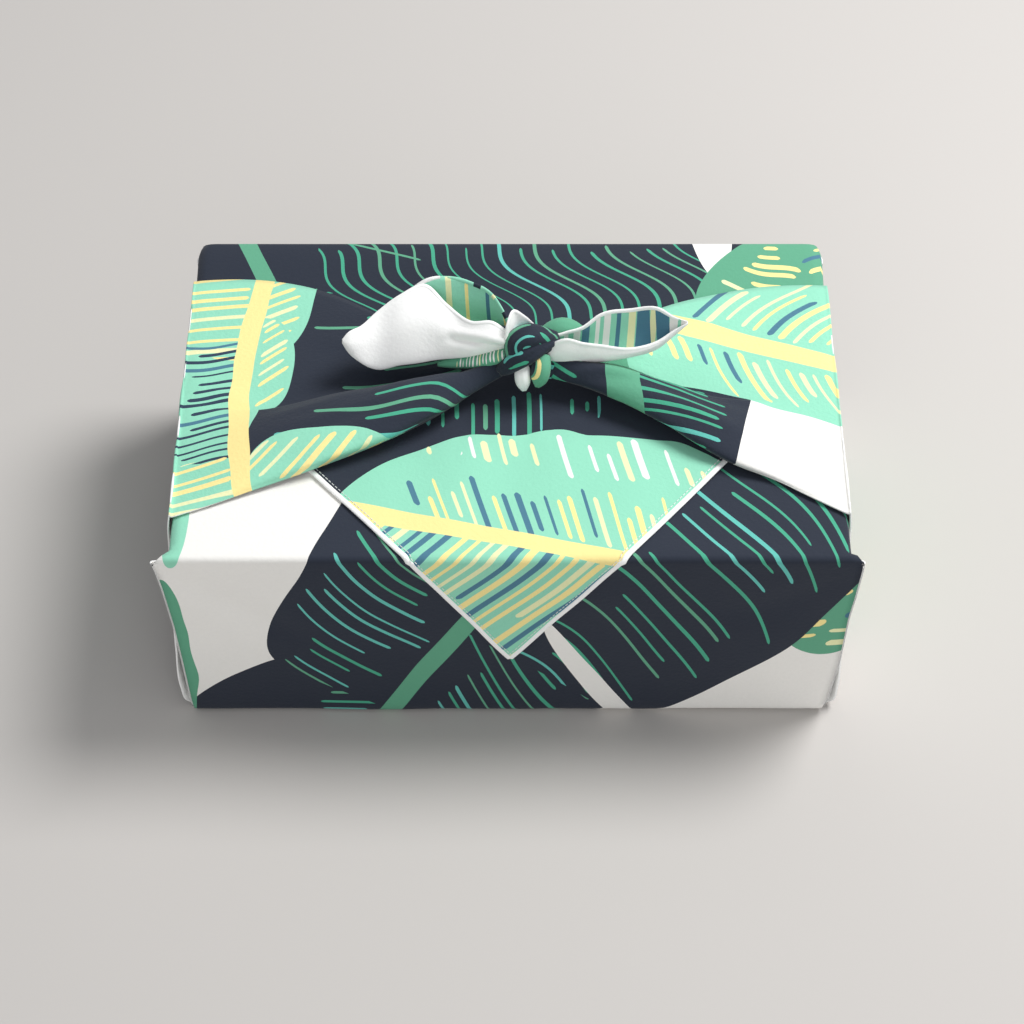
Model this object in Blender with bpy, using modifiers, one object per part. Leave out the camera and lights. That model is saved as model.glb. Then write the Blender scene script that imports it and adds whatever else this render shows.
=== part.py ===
"""A gift carton wrapped in a square furoshiki cloth and tied with a square knot on top.

The cloth is one solid with its real layers: the front sheet goes up the front and under, the
back sheet comes over it and hangs down the front as a pointed flap, and the two side corners
run up over the top as wings, roll into bundles, knot and end in two leaf-shaped tails.
Metres, +Z up. The front is at -Y. The origin is the middle of the underside.
"""

import math

import bmesh
import bpy
import numpy as np

MM = 0.001

# Driving sizes
WIDTH = 300 * MM
DEPTH = 200 * MM
HEIGHT = 111 * MM
CLOTH = 1.4 * MM
AIR = 0.4 * MM
LAYER = CLOTH + AIR

# Outer face of the front sheet on top, and the middle of the back sheet that lies over it
UNDER_TOP = HEIGHT - 2 * LAYER
FLAP_MID = HEIGHT - LAYER - CLOTH / 2

EDGE_ROUND = 2.5 * MM
CARTON_ROUND = 8.0 * MM
CARTON_AIR = 2.4 * MM
CARTON_DROP = 0.4 * MM

# The front sheet ends under the back sheet, and a margin of it stays along the other edges
UNDER_END_Y = 40 * MM
UNDER_MARGIN = 4 * MM

# The back sheet turns down over the side edges along a band this wide
BEND_WIDTH = 6 * MM
BEND_DROP = 4 * MM
BEND_TUCK = 0.8 * MM

# The hanging flap: where it leaves the sides and crosses the front edge, and its tip
FLAP_SIDE_Y = 22 * MM
FLAP_EDGE_LEFT = 46 * MM
FLAP_EDGE_RIGHT = 51 * MM
FLAP_TIP_Z = 42 * MM
FLAP_TIP_HALF = 1.2 * MM
FLAP_OFF_FRONT = 1.2 * MM
FLAP_LEAN = 0.8 * MM
FLAP_TOP_ROWS = (80, 50, 22, 18, 14.5, 0, -30, -60, -94)
FLAP_HANG_SHARES = (0.06, 0.25, 0.5, 0.75, 0.92)
FLAP_ACROSS = (-1, -0.97, -0.9, -0.6, -0.3, 0, 0.3, 0.6, 0.9, 0.97, 1)

# Wings on top, a row for each section from the side edge to the knot, in millimetres.
# Each section runs from the back hem over a crease and a rolled crown to the tucked front:
# x, back y z, mid y z, crease y z, crown y z, front y z, tuck y z
LEFT_WING = [
    (-149, 74, 110.1, 38, 110.1, 0, 109.6, -36, 108.9, -68, 108.6, -76, 108.4),
    (-135, 75, 110.3, 36, 110.4, -6, 110.2, -38, 111.0, -65, 110.2, -70, 107.9),
    (-115, 74, 110.3, 34, 110.4, -9, 110.3, -37, 115.0, -58.5, 112.2, -61, 107.7),
    (-87, 66, 110.4, 32, 110.8, -4, 111.2, -29, 120.0, -50.5, 115.0, -47, 110.2),
    (-60, 49, 110.8, 26, 112.4, 1, 112.4, -20, 123.5, -39, 117.2, -32, 110.9),
    (-36, 32, 112.5, 18, 115.8, 1, 115.2, -13, 126.0, -26, 119.8, -18, 112.0),
    (-12, 5, 116.0, 7, 120.5, 4.5, 124.4, 0, 125.4, -4.5, 119.5, -0.5, 114.8),
    (-3, 9, 118.4, 11, 122.5, 9, 126.0, 5, 126.9, 0.9, 121.5, 4.4, 117.1),
]
RIGHT_WING = [
    (149, 71, 110.1, 36, 110.1, 0, 109.6, -36, 108.9, -66, 108.6, -74, 108.4),
    (135, 71, 110.3, 35, 110.4, 0, 110.2, -34, 110.4, -60, 109.8, -65, 107.9),
    (118, 69.5, 110.3, 34, 110.5, -2, 110.8, -30, 113.0, -51.5, 111.4, -54, 107.7),
    (99, 65, 110.4, 33, 111.2, -5, 111.6, -28, 118.5, -46.5, 114.0, -43, 110.0),
    (68, 53, 110.8, 28, 113.2, 1, 113.0, -13, 124.0, -26, 117.5, -18, 110.9),
    (45, 34, 112.5, 21, 116.5, 8, 117.5, -1, 125.8, -10.5, 119.3, -4, 112.6),
    (23, 7.3, 117.1, 9.2, 121.5, 7, 125.4, 3, 126.4, -1.4, 120.5, 2.3, 116.0),
    (14, 8.3, 118.0, 10, 121.6, 8.4, 125.0, 5, 126.0, 0.6, 121.4, 3.6, 117.4),
]

# Wings on the side faces, from the bottom edge to the top edge, in millimetres:
# out, z, front y, back y
LEFT_SIDE = [
    (149.5, 3.5, -96, 96),
    (151.6, 12, -95, 95),
    (152.7, 35, -90, 90),
    (152.3, 65, -84, 84),
    (152.1, 92, -79, 78),
    (151.5, 104, -77, 75),
    (150.9, 108.2, -76, 74),
]
RIGHT_SIDE = [
    (149.5, 3.5, -96, 96),
    (151.1, 12, -95, 95),
    (151.4, 35, -90, 90),
    (151.2, 65, -84, 83),
    (151.2, 92, -78, 76),
    (151.2, 104, -75, 72),
    (150.9, 108.2, -74, 71),
]

# Folded-out corners of the cloth along the upright edges, in millimetres: z, and how far out
EARS = {
    "front_left": [(14, 149.0), (60, 150.6), (85, 153.2), (99, 155.2), (105.5, 157.2), (106.9, 155.0)],
    "front_right": [(30, 149.6), (66, 151.4), (81, 153.0), (101, 154.3), (105.8, 155.0), (106.9, 153.0)],
    "back_left": [(40, 149.0), (80, 150.6), (100, 152.2), (105.4, 152.6), (106.8, 151.0)],
    "back_right": [(40, 149.0), (80, 150.8), (99, 152.6), (105.2, 153.2), (106.8, 151.2)],
}
EAR_ROOT = 6 * MM
EAR_HALF = 1.6 * MM
EAR_PROUD = 0.15 * MM
EAR_FLARE = 0.8 * MM

# The two interlocked bights of the square knot, centre lines in millimetres: x, y, z, radius
LEFT_BIGHT = [
    (-9, 7, 121, 5.0),
    (-1, 10.5, 121.4, 5.6),
    (7, 14, 122.2, 5.6),
    (12.9, 15.4, 125.3, 5.4),
    (14.8, 15.6, 130, 5.2),
    (12.9, 15.4, 134.9, 5.4),
    (7, 14.2, 137.8, 5.6),
    (0, 12, 138.2, 5.4),
    (-6, 11, 137.8, 4.8),
]
RIGHT_BIGHT = [
    (31, 4.6, 119.6, 3.4),
    (24, 5.6, 121.3, 5.0),
    (16, 5, 121.8, 5.6),
    (9, 3.6, 122.4, 5.6),
    (3.6, 2.2, 125.3, 5.4),
    (1.9, 1.8, 130, 5.2),
    (3.6, 2.2, 134.7, 5.4),
    (9, 4.6, 137.5, 5.6),
    (15, 7.6, 137.2, 5.4),
    (21, 9.5, 135.2, 4.8),
]
KNOT_HEART = (8 * MM, 8.5 * MM, 130 * MM)
KNOT_HEART_RADIUS = 7 * MM

# Two little ends of the gathered cloth that peep out below the knot: x, y, z, radius
TIPS = {
    "white": [(6, 1, 126.5, 3.0), (5.6, -2.5, 125, 3.2), (5.9, -5, 121.5, 2.8), (6.4, -6, 117.8, 1.0)],
    "green": [(14.5, 2, 130, 4.0), (14.2, -2.5, 128, 4.2), (13.2, -5, 124, 3.4), (12.3, -6, 120.4, 1.0)],
}

# Tails, folded lengthwise like a pod, a row for each section from the knot to the point:
# x, near rim y z, belly y z, keel y z, rise y z, far rim y z
LEFT_TAIL = [
    (0, 9, 142, 4.5, 138, 6, 131.8, 12, 133.5, 15.5, 144.5),
    (-8, 10, 145.5, 3.5, 138, 5.6, 130.5, 16, 132, 26, 147.4),
    (-18, 11.5, 144.3, 3.6, 136, 5, 128.8, 20, 130.5, 32, 149.4),
    (-29, 22, 145.2, 8.5, 138.5, 4.5, 127.6, 21, 130.5, 34, 151),
    (-38, 30.5, 147.6, 12, 139.5, 4, 126.6, 21, 130, 33.2, 150.2),
    (-50, 27.2, 142.6, 12, 137, 3.5, 124.6, 19, 127, 30, 143.6),
    (-61, 21.5, 136.4, 10.5, 131.6, 4, 121.6, 15.5, 124, 24.5, 137.2),
    (-68, 15.5, 133.6, 9.5, 131, 5, 125, 12.5, 127, 18, 135),
    (-74.5, 9.6, 133.4, 8.2, 131.4, 9, 129, 12, 130.2, 12.6, 133.6),
]
RIGHT_TAIL = [
    (18, 5.5, 136.5, 4, 132, 6.5, 126.5, 11, 128.5, 14, 138),
    (27, 3.6, 140, 2, 133, 6, 122.6, 12, 127, 16, 133),
    (41, 5, 135.6, 3.4, 130, 6.8, 124, 14, 128, 19, 141.5),
    (55, 4.8, 133.8, 3.6, 131.4, 7, 127, 14, 131, 20, 143.8),
    (67, 7, 136, 6, 134.4, 8.5, 130.5, 13.5, 134, 18, 146.7),
    (75, 10, 140.4, 9.6, 138.8, 11, 136.6, 12.6, 138.6, 14.6, 143.8),
    (80, 10.8, 143.4, 10.2, 142.2, 11.6, 140.8, 13.2, 142, 13.4, 144),
]

# Sections and points that the smooth curves add between the given ones
WING_STEPS = 2
WING_ACROSS_STEPS = 3
SIDE_POINTS = 6
TAIL_STEPS = 2
TAIL_ACROSS_STEPS = 3
TUBE_STEPS = 2
TUBE_RESOLUTION = 4
WELD = 0.01 * MM


def clear_scene():
    for obj in list(bpy.data.objects):
        bpy.data.objects.remove(obj)


def collection(name, hidden=False):
    made = bpy.data.collections.new(name)
    bpy.context.scene.collection.children.link(made)
    made.hide_render = hidden
    return made


def material(name, colour, roughness):
    made = bpy.data.materials.new(name)
    made.use_nodes = True
    shader = made.node_tree.nodes["Principled BSDF"]
    shader.inputs["Base Color"].default_value = (*colour, 1)
    shader.inputs["Roughness"].default_value = roughness
    return made


def smooth_rows(rows, steps):
    """Rows between the given ones on a smooth curve through them, with steps to each span."""
    rows = np.asarray(rows, float)
    flat = rows.reshape(len(rows), -1)
    spans = np.linalg.norm(np.diff(flat, axis=0), axis=1)
    along = np.concatenate([[0], np.cumsum(spans)])
    slopes = np.gradient(flat, along, axis=0)
    made = []
    for i, span in enumerate(spans):
        for t in np.arange(steps) / steps:
            start = (1 + 2 * t) * (1 - t) ** 2 * flat[i] + t * (1 - t) ** 2 * span * slopes[i]
            end = t * t * (3 - 2 * t) * flat[i + 1] - t * t * (1 - t) * span * slopes[i + 1]
            made.append(start + end)
    made.append(flat[-1])
    return np.array(made).reshape(-1, *rows.shape[1:])


def mesh_object(name, points, faces, folder):
    mesh = bpy.data.meshes.new(name)
    mesh.from_pydata([tuple(p) for p in points], [], faces)
    mesh.validate()
    mesh.shade_smooth()
    obj = bpy.data.objects.new(name, mesh)
    folder.objects.link(obj)
    return obj


def sheet(name, grid, folder):
    """A sheet of cloth whose middle surface is a grid of points, given its thickness."""
    rows, columns = grid.shape[:2]
    faces = [
        (i * columns + j, i * columns + j + 1, (i + 1) * columns + j + 1, (i + 1) * columns + j)
        for i in range(rows - 1)
        for j in range(columns - 1)
    ]
    obj = mesh_object(name, grid.reshape(-1, 3), faces, folder)
    thick = obj.modifiers.new("cloth thickness", "SOLIDIFY")
    thick.thickness = CLOTH
    thick.offset = 0
    return obj


def closed_loft(name, rings, folder):
    """A closed solid through rings of equal point counts, with a flat cap at each end."""
    count = len(rings[0])
    faces = [
        (i * count + j, i * count + (j + 1) % count, (i + 1) * count + (j + 1) % count, (i + 1) * count + j)
        for i in range(len(rings) - 1)
        for j in range(count)
    ]
    last = (len(rings) - 1) * count
    faces.append(tuple(reversed(range(count))))
    faces.append(tuple(range(last, last + count)))
    obj = mesh_object(name, np.concatenate(rings), faces, folder)
    bm = bmesh.new()
    bm.from_mesh(obj.data)
    bmesh.ops.recalc_face_normals(bm, faces=bm.faces)
    bm.to_mesh(obj.data)
    bm.free()
    return obj


def tube(name, rows, folder):
    """A gathered roll of cloth along a centre line of x, y, z and radius rows in millimetres."""
    line = smooth_rows(rows, TUBE_STEPS) * MM
    curve = bpy.data.curves.new(name, "CURVE")
    curve.dimensions = "3D"
    curve.bevel_depth = 1
    curve.bevel_resolution = TUBE_RESOLUTION
    curve.use_fill_caps = True
    spline = curve.splines.new("POLY")
    spline.points.add(len(line) - 1)
    for point, (x, y, z, radius) in zip(spline.points, line):
        point.co = (x, y, z, 1)
        point.radius = radius
    drawn = bpy.data.objects.new(name + "_line", curve)
    folder.objects.link(drawn)
    graph = bpy.context.evaluated_depsgraph_get()
    mesh = bpy.data.meshes.new_from_object(drawn.evaluated_get(graph))
    bpy.data.objects.remove(drawn)
    bm = bmesh.new()
    bm.from_mesh(mesh)
    bmesh.ops.remove_doubles(bm, verts=bm.verts, dist=WELD)
    bm.to_mesh(mesh)
    bm.free()
    obj = bpy.data.objects.new(name, mesh)
    folder.objects.link(obj)
    return obj


def knot_heart(folder):
    """The cloth pressed together in the middle of the knot."""
    radius = KNOT_HEART_RADIUS
    bpy.ops.mesh.primitive_uv_sphere_add(segments=12, ring_count=8, radius=radius, location=KNOT_HEART)
    obj = bpy.context.object
    obj.name = "knot_heart"
    move_to(obj, folder)
    return obj


def move_to(obj, folder):
    for old in list(obj.users_collection):
        old.objects.unlink(obj)
    folder.objects.link(obj)


def rounded_box(name, low, high, radius, folder):
    low, high = np.array(low), np.array(high)
    bpy.ops.mesh.primitive_cube_add(size=1, location=tuple((low + high) / 2))
    obj = bpy.context.object
    obj.name = name
    obj.scale = tuple(high - low)
    bpy.ops.object.transform_apply(location=False, rotation=False, scale=True)
    if radius:
        bevel = obj.modifiers.new("rounded edges", "BEVEL")
        bevel.width = radius
        bevel.segments = 3
    move_to(obj, folder)
    return obj


def make_carton(folder):
    inset = CLOTH + CARTON_AIR
    low = (-WIDTH / 2 + inset, -DEPTH / 2 + inset, CLOTH + CARTON_DROP)
    high = (WIDTH / 2 - inset, DEPTH / 2 - inset, UNDER_TOP - CLOTH - CARTON_DROP)
    carton = rounded_box("carton", low, high, CARTON_ROUND, folder)
    carton.data.materials.append(material("carton board", (0.62, 0.5, 0.36), 0.8))


def make_tray(folder, helpers):
    """The layer next to the carton: under it, up its four sides and over the front of its top."""
    x, y = WIDTH / 2, DEPTH / 2
    tray = rounded_box("wrap_cloth", (-x, -y, 0), (x, y, UNDER_TOP), EDGE_ROUND, folder)
    tray.data.materials.append(material("printed cotton", (0.12, 0.16, 0.24), 0.85))
    x, y = x - CLOTH, y - CLOTH
    room_top = UNDER_TOP - CLOTH
    room = rounded_box("room", (-x, -y, CLOTH), (x, y, room_top), EDGE_ROUND - CLOTH, helpers)
    combine(tray, room, "DIFFERENCE")
    x, y = x - UNDER_MARGIN, y - UNDER_MARGIN
    low, high = room_top - UNDER_MARGIN, UNDER_TOP + UNDER_MARGIN
    mouth = rounded_box("mouth", (-x, UNDER_END_Y, low), (x, y, high), 0, helpers)
    combine(tray, mouth, "DIFFERENCE")
    return tray


def combine(target, other, operation="UNION"):
    other.hide_render = True
    other.display_type = "WIRE"
    cut = target.modifiers.new(operation.lower() + " " + other.name, "BOOLEAN")
    cut.operation = operation
    cut.object = other


def flap_half_width(y, at_front):
    """Half width of the back sheet on top: full at the back, and cut by its slanting edge."""
    front = -DEPTH / 2
    share = min(1, (y - front) / (FLAP_SIDE_Y - front))
    return at_front + share * (WIDTH / 2 - at_front)


def flap_profile():
    """Back sheet from inside the back wall, over the top and down the front.

    Each row is y, z, and its half widths to the left and to the right.
    """
    back, front = DEPTH / 2, -DEPTH / 2
    side = WIDTH / 2
    rows = [
        (back - 0.6 * MM, FLAP_MID - 14.6 * MM, side, side),
        (back + 0.3 * MM, FLAP_MID - 8.6 * MM, side, side),
        (back - 0.1 * MM, FLAP_MID - 4.2 * MM, side, side),
        (back - 1.2 * MM, FLAP_MID - 1.5 * MM, side, side),
        (back - 4.0 * MM, FLAP_MID, side, side),
    ]
    for y in np.array(FLAP_TOP_ROWS) * MM:
        left = flap_half_width(y, FLAP_EDGE_LEFT)
        right = flap_half_width(y, FLAP_EDGE_RIGHT)
        rows.append((y, FLAP_MID, left, right))
    rows.append((front - 0.2 * MM, FLAP_MID - 1.2 * MM, FLAP_EDGE_LEFT, FLAP_EDGE_RIGHT))
    hang = front - FLAP_OFF_FRONT
    for share in FLAP_HANG_SHARES:
        z = FLAP_MID - share * (FLAP_MID - FLAP_TIP_Z)
        left = FLAP_EDGE_LEFT * (1 - share)
        right = FLAP_EDGE_RIGHT * (1 - share)
        rows.append((hang - share * FLAP_LEAN, z, left, right))
    rows.append((hang - FLAP_LEAN, FLAP_TIP_Z, FLAP_TIP_HALF, FLAP_TIP_HALF))
    return rows


def make_flap(helpers):
    """Across each row the sheet is flat, and where it reaches the sides it bends down over them."""
    bend_start = WIDTH / 2 - BEND_WIDTH
    grid = []
    for y, z, left, right in flap_profile():
        row = []
        for share in FLAP_ACROSS:
            x = share * (left if share < 0 else right)
            bend = max(0, abs(x) - bend_start) / BEND_WIDTH
            tuck = BEND_TUCK * bend
            at_corner = y > DEPTH / 2 - BEND_WIDTH
            row.append((math.copysign(abs(x) - tuck, x), y - tuck * at_corner, z - BEND_DROP * bend**2))
        grid.append(row)
    return sheet("back_sheet", np.array(grid), helpers)


def section_points(row):
    """The points of a table row that holds an x and then pairs of y and z."""
    return [(row[0], row[i], row[i + 1]) for i in range(1, len(row), 2)]


def wing_grid(side_rows, top_rows, sign):
    """Middle surface of a wing: up the side face, over the edge, then across the top to the knot."""
    sections = []
    for out, z, front, back in side_rows:
        across = np.linspace(back, front, SIDE_POINTS)
        sections.append([(sign * out, y, z) for y in across])
    sections += [section_points(row) for row in top_rows]
    sections = np.array(sections) * MM
    rows = smooth_rows(sections, WING_STEPS)
    columns = smooth_rows(rows.transpose(1, 0, 2), WING_ACROSS_STEPS)
    return columns.transpose(1, 0, 2)


def make_ear(name, table, helpers):
    """A thin fold of doubled cloth that stands out from an upright edge of the carton."""
    side = -1 if "left" in name else 1
    facing = -1 if "front" in name else 1
    root = side * (WIDTH / 2 - EAR_ROOT)
    face = facing * (DEPTH / 2 + EAR_PROUD)
    inner = facing * (DEPTH / 2 - 2 * EAR_HALF)
    rings = []
    for z, out in table:
        tip = side * out * MM
        near = tip - side * EAR_HALF
        outline = [
            (root, face - facing * EAR_FLARE),
            (near, face),
            (tip, (face + inner) / 2),
            (near, inner),
            (root, inner - facing * EAR_FLARE),
        ]
        rings.append(np.array([(x, y, z * MM) for x, y in outline]))
    return closed_loft("ear_" + name, rings, helpers)


def make_tail(name, table, helpers):
    sections = np.array([section_points(row) for row in table]) * MM
    rows = smooth_rows(sections, TAIL_STEPS)
    columns = smooth_rows(rows.transpose(1, 0, 2), TAIL_ACROSS_STEPS)
    return sheet(name, columns.transpose(1, 0, 2), helpers)


def main():
    clear_scene()
    parts = collection("furoshiki wrap")
    helpers = collection("helpers", hidden=True)
    make_carton(parts)
    wrap = make_tray(parts, helpers)
    pieces = [make_ear(name, rows, helpers) for name, rows in EARS.items()]
    pieces += [
        make_flap(helpers),
        sheet("left_wing", wing_grid(LEFT_SIDE, LEFT_WING, -1), helpers),
        sheet("right_wing", wing_grid(RIGHT_SIDE, RIGHT_WING, 1), helpers),
        tube("left_bight", LEFT_BIGHT, helpers),
        tube("right_bight", RIGHT_BIGHT, helpers),
        knot_heart(helpers),
        make_tail("left_tail", LEFT_TAIL, helpers),
        make_tail("right_tail", RIGHT_TAIL, helpers),
    ]
    pieces += [tube("tip_" + name, rows, helpers) for name, rows in TIPS.items()]
    for piece in pieces:
        combine(wrap, piece)


main()
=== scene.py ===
# %% [markdown]
# A gift box in a knotted wrapping cloth.
# A furoshiki is one square of printed cotton with a thin rolled hem. The box stands on it
# cornerwise. One corner goes up the front and over the top, and the opposite corner comes up the
# back, over the top and hangs down the front as a pointed flap. The two side corners are pulled
# up as wings, rolled, and tied over the middle in a square knot with two leaf-shaped tails.
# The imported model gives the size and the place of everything, so it is loaded first.

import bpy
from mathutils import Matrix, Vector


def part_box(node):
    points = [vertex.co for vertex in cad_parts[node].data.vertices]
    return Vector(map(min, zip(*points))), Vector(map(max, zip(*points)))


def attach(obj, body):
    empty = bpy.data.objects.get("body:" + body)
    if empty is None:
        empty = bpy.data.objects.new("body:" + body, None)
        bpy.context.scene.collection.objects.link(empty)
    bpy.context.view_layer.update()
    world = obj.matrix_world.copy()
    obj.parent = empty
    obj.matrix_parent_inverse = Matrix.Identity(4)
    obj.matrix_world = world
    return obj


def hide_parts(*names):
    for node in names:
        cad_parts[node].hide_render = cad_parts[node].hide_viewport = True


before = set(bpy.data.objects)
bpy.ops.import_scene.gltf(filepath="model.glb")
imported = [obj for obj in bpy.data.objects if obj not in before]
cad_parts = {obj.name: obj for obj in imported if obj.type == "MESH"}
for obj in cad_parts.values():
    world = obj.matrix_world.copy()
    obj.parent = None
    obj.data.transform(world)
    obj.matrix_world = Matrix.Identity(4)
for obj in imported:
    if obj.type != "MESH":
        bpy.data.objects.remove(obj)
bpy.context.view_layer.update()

# %% Tools and the box that the cloth fits
import math

import bmesh
import bpy
import numpy as np

MM = 0.001
CLOTH = 0.7
CARTON_INSET = 3.8
CARTON_TOP_DEPTH = 5.4

carton_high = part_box("carton")[1]
HALF_WIDTH = carton_high[0] / MM + CARTON_INSET
HALF_DEPTH = carton_high[1] / MM + CARTON_INSET
BOX_TOP = carton_high[2] / MM + CARTON_TOP_DEPTH
print(f"Wrapped box: {2 * HALF_WIDTH:.1f} x {2 * HALF_DEPTH:.1f} x {BOX_TOP:.1f} mm")

# %% [markdown]
# The camera.
# A photograph of a box holds its own camera: the corners of the box fix the lens, the height and
# the tilt. Those values were worked out from six corners and are given here.

# %% Camera
CAMERA_LENS_MM = 100
CAMERA_PLACE = (0.0009, -0.9185, 1.0422)
CAMERA_TILT_DEG = 42.17

camera_data = bpy.data.cameras.new("camera")
camera_data.lens = CAMERA_LENS_MM
camera_data.sensor_width = 36
camera = bpy.data.objects.new("camera", camera_data)
camera.location = CAMERA_PLACE
camera.rotation_euler = (math.radians(CAMERA_TILT_DEG), 0, 0)
bpy.context.scene.collection.objects.link(camera)
bpy.context.scene.camera = camera
print("Camera lens", CAMERA_LENS_MM, "mm")

# %% [markdown]
# How a sheet of cloth is made here.
# Every stretch of the cloth is a grid: rows run along the cloth and columns across it. A short
# table gives the rows that matter, in millimetres, and smooth curves fill in the rest. Each point
# also keeps its place on the flat cloth, which is what the printed pattern follows. All
# stretches are collected and become one mesh, because it is one cloth.

# %% Smooth curves through a few rows
def smooth_rows(rows, steps):
    """Rows between the given ones on a smooth curve through them, with steps to each span."""
    rows = np.asarray(rows, float)
    flat = rows.reshape(len(rows), -1)
    spans = np.linalg.norm(np.diff(flat, axis=0), axis=1)
    along = np.concatenate([[0], np.cumsum(spans)])
    slopes = np.gradient(flat, along, axis=0)
    made = []
    for i, span in enumerate(spans):
        for t in np.arange(steps) / steps:
            start = (1 + 2 * t) * (1 - t) ** 2 * flat[i] + t * (1 - t) ** 2 * span * slopes[i]
            end = t * t * (3 - 2 * t) * flat[i + 1] - t * t * (1 - t) * span * slopes[i + 1]
            made.append(start + end)
    made.append(flat[-1])
    return np.array(made).reshape(-1, *rows.shape[1:])


def smooth_columns(grid, steps):
    return smooth_rows(grid.transpose(1, 0, 2), steps).transpose(1, 0, 2)


def grid_normals(grid):
    normal = np.cross(np.gradient(grid, axis=0), np.gradient(grid, axis=1))
    return normal / np.maximum(np.linalg.norm(normal, axis=2, keepdims=True), 1e-9)


def lengths_across(grid):
    """How far each point lies from the first column, measured along its row."""
    steps = np.linalg.norm(np.diff(grid, axis=1), axis=2)
    return np.concatenate([np.zeros((len(grid), 1)), np.cumsum(steps, axis=1)], axis=1)


def lengths_along(grid):
    return lengths_across(grid.transpose(1, 0, 2)).T


# %% Wrinkles and creases
def ripples(u, v, wave, seed):
    """Soft uneven waves from -1 to 1: a few sine waves in different directions."""
    rng = np.random.default_rng(seed)
    total = np.zeros_like(u)
    for _ in range(7):
        angle = rng.uniform(0, math.pi)
        size = wave * rng.uniform(0.7, 1.5)
        shift = rng.uniform(0, 2 * math.pi)
        total += np.sin((u * math.cos(angle) + v * math.sin(angle)) * 2 * math.pi / size + shift)
    return total / 4


def crease(u, v, start, end, width):
    """1 along a line on the cloth from start to end, falling to 0 at width on both sides."""
    start, end = np.array(start, float), np.array(end, float)
    length = np.linalg.norm(end - start)
    along_u, along_v = (end - start) / length
    far = (u - start[0]) * along_u + (v - start[1]) * along_v
    off = (v - start[1]) * along_u - (u - start[0]) * along_v
    share = np.clip(far / length, 0, 1)
    fade = np.sin(math.pi * share) ** 0.5 * (far > 0) * (far < length)
    return fade * np.exp(-((off / width) ** 2))


def creased(u, v, table):
    """All creases of a table of start, end, width and height. A minus sign is a trough."""
    return sum(height * crease(u, v, start, end, width) for start, end, width, height in table)


def step_up(value, start, end):
    """0 before start, 1 after end and a soft step between them."""
    share = np.clip((value - start) / (end - start), 0, 1)
    return share * share * (3 - 2 * share)


# %% A list that the stretches of cloth are added to
stretches = []


def add_stretch(name, grid, place, finish, turned=False):
    """Keep a grid of points with its places on the flat cloth and the print that it shows."""
    stretches.append((grid, place, finish, turned))
    rows, columns = grid.shape[:2]
    print(f"{name}: {rows} x {columns} points")


# %% [markdown]
# The long middle strip.
# On the flat cloth this is the diagonal from the front corner to the back corner: under the
# flap, down the front, under the box, up the back, over the top and down the front again. Its
# path is drawn once as a line seen from the side, with round turns at the edges of the box, and
# each point of that line becomes a row across the cloth.

# %% The path of the strip seen from the side
UNDER_TOP = BOX_TOP - 3.95
BACK_SHEET_TOP = BOX_TOP - 2.5
HALF = CLOTH / 2
FRONT_TURN = 2.4
BASE_TURN = 4.0
BACK_TURN = 3.2
BACK_RISE = 3.8
FLAP_TURN = 3.4
FLAP_TIP_Z = 42.0
UNDER_END_Y = 88.0


def straight(start, end, step):
    start, end = np.array(start, float), np.array(end, float)
    count = max(1, round(np.linalg.norm(end - start) / step))
    return [start + (end - start) * k / count for k in range(count)]


def top_height(y):
    """The back sheet lies a little higher at the back edge, where no wing holds it down."""
    return BACK_SHEET_TOP + BACK_RISE * step_up(y, 62, 94)


def turn(centre, radius, start_deg, end_deg, count):
    angles = np.radians(np.linspace(start_deg, end_deg, count + 1)[:-1])
    return [np.array(centre) + radius * np.array([math.cos(a), math.sin(a)]) for a in angles]


front_y = -(HALF_DEPTH - HALF)
back_y = HALF_DEPTH - HALF
under_path = straight((UNDER_END_Y, UNDER_TOP), (front_y + FRONT_TURN, UNDER_TOP), 3.6)
under_path += turn((front_y + FRONT_TURN, UNDER_TOP - FRONT_TURN), FRONT_TURN, 90, 180, 5)
front_path = straight((front_y, UNDER_TOP - FRONT_TURN), (front_y, BASE_TURN + HALF), 2.9)
front_path += turn((front_y + BASE_TURN, BASE_TURN + HALF), BASE_TURN, 180, 270, 5)
front_path += straight((front_y + BASE_TURN, HALF), (0, HALF), 12)
back_path = straight((0, HALF), (back_y - BASE_TURN, HALF), 12)
back_path += turn((back_y - BASE_TURN, BASE_TURN + HALF), BASE_TURN, 270, 360, 5)
back_top = top_height(back_y)
back_path += straight((back_y, BASE_TURN + HALF), (back_y, back_top - BACK_TURN), 4)
over_path = turn((back_y - BACK_TURN, back_top - BACK_TURN), BACK_TURN, 0, 90, 6)
flap_front_y = -HALF_DEPTH - 1
top_path = straight((back_y - BACK_TURN, back_top), (flap_front_y + FLAP_TURN, back_top), 3.1)
over_path += [np.array([y, top_height(y)]) for y, _ in top_path]
over_path += turn((flap_front_y + FLAP_TURN, BACK_SHEET_TOP - FLAP_TURN), FLAP_TURN, 90, 180, 5)
hang_path = straight((flap_front_y, BACK_SHEET_TOP - FLAP_TURN), (flap_front_y - 1, FLAP_TIP_Z), 2.3)
hang_path += [np.array([flap_front_y - 1, FLAP_TIP_Z])]
print("Rows of the strip:", len(under_path + front_path + back_path + over_path + hang_path))

# %% How far the strip reaches to the left and right
FLAP_SIDE_Y = 22.0
FLAP_EDGE = {"left": 46.0, "right": 51.0}
SIDE_TURN = 2.4
SIDE_DROP = 5.0
BACK_CORNER = 7.0

# Folded-out front corners, from the floor up: z, and how far out the fold stands
FRONT_FOLD = {
    "left": [
        (0, 146.0), (8, 147.4), (35, 149.0), (62, 150.9), (86, 153.6), (100, 155.8), (105, 157.2), (108, 155),
    ],
    "right": [
        (0, 143.5), (8, 146.5), (37, 150.0), (53, 150.8), (68, 151.6), (81, 153.2), (98, 154.8), (108, 155.2),
    ],
}


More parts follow.
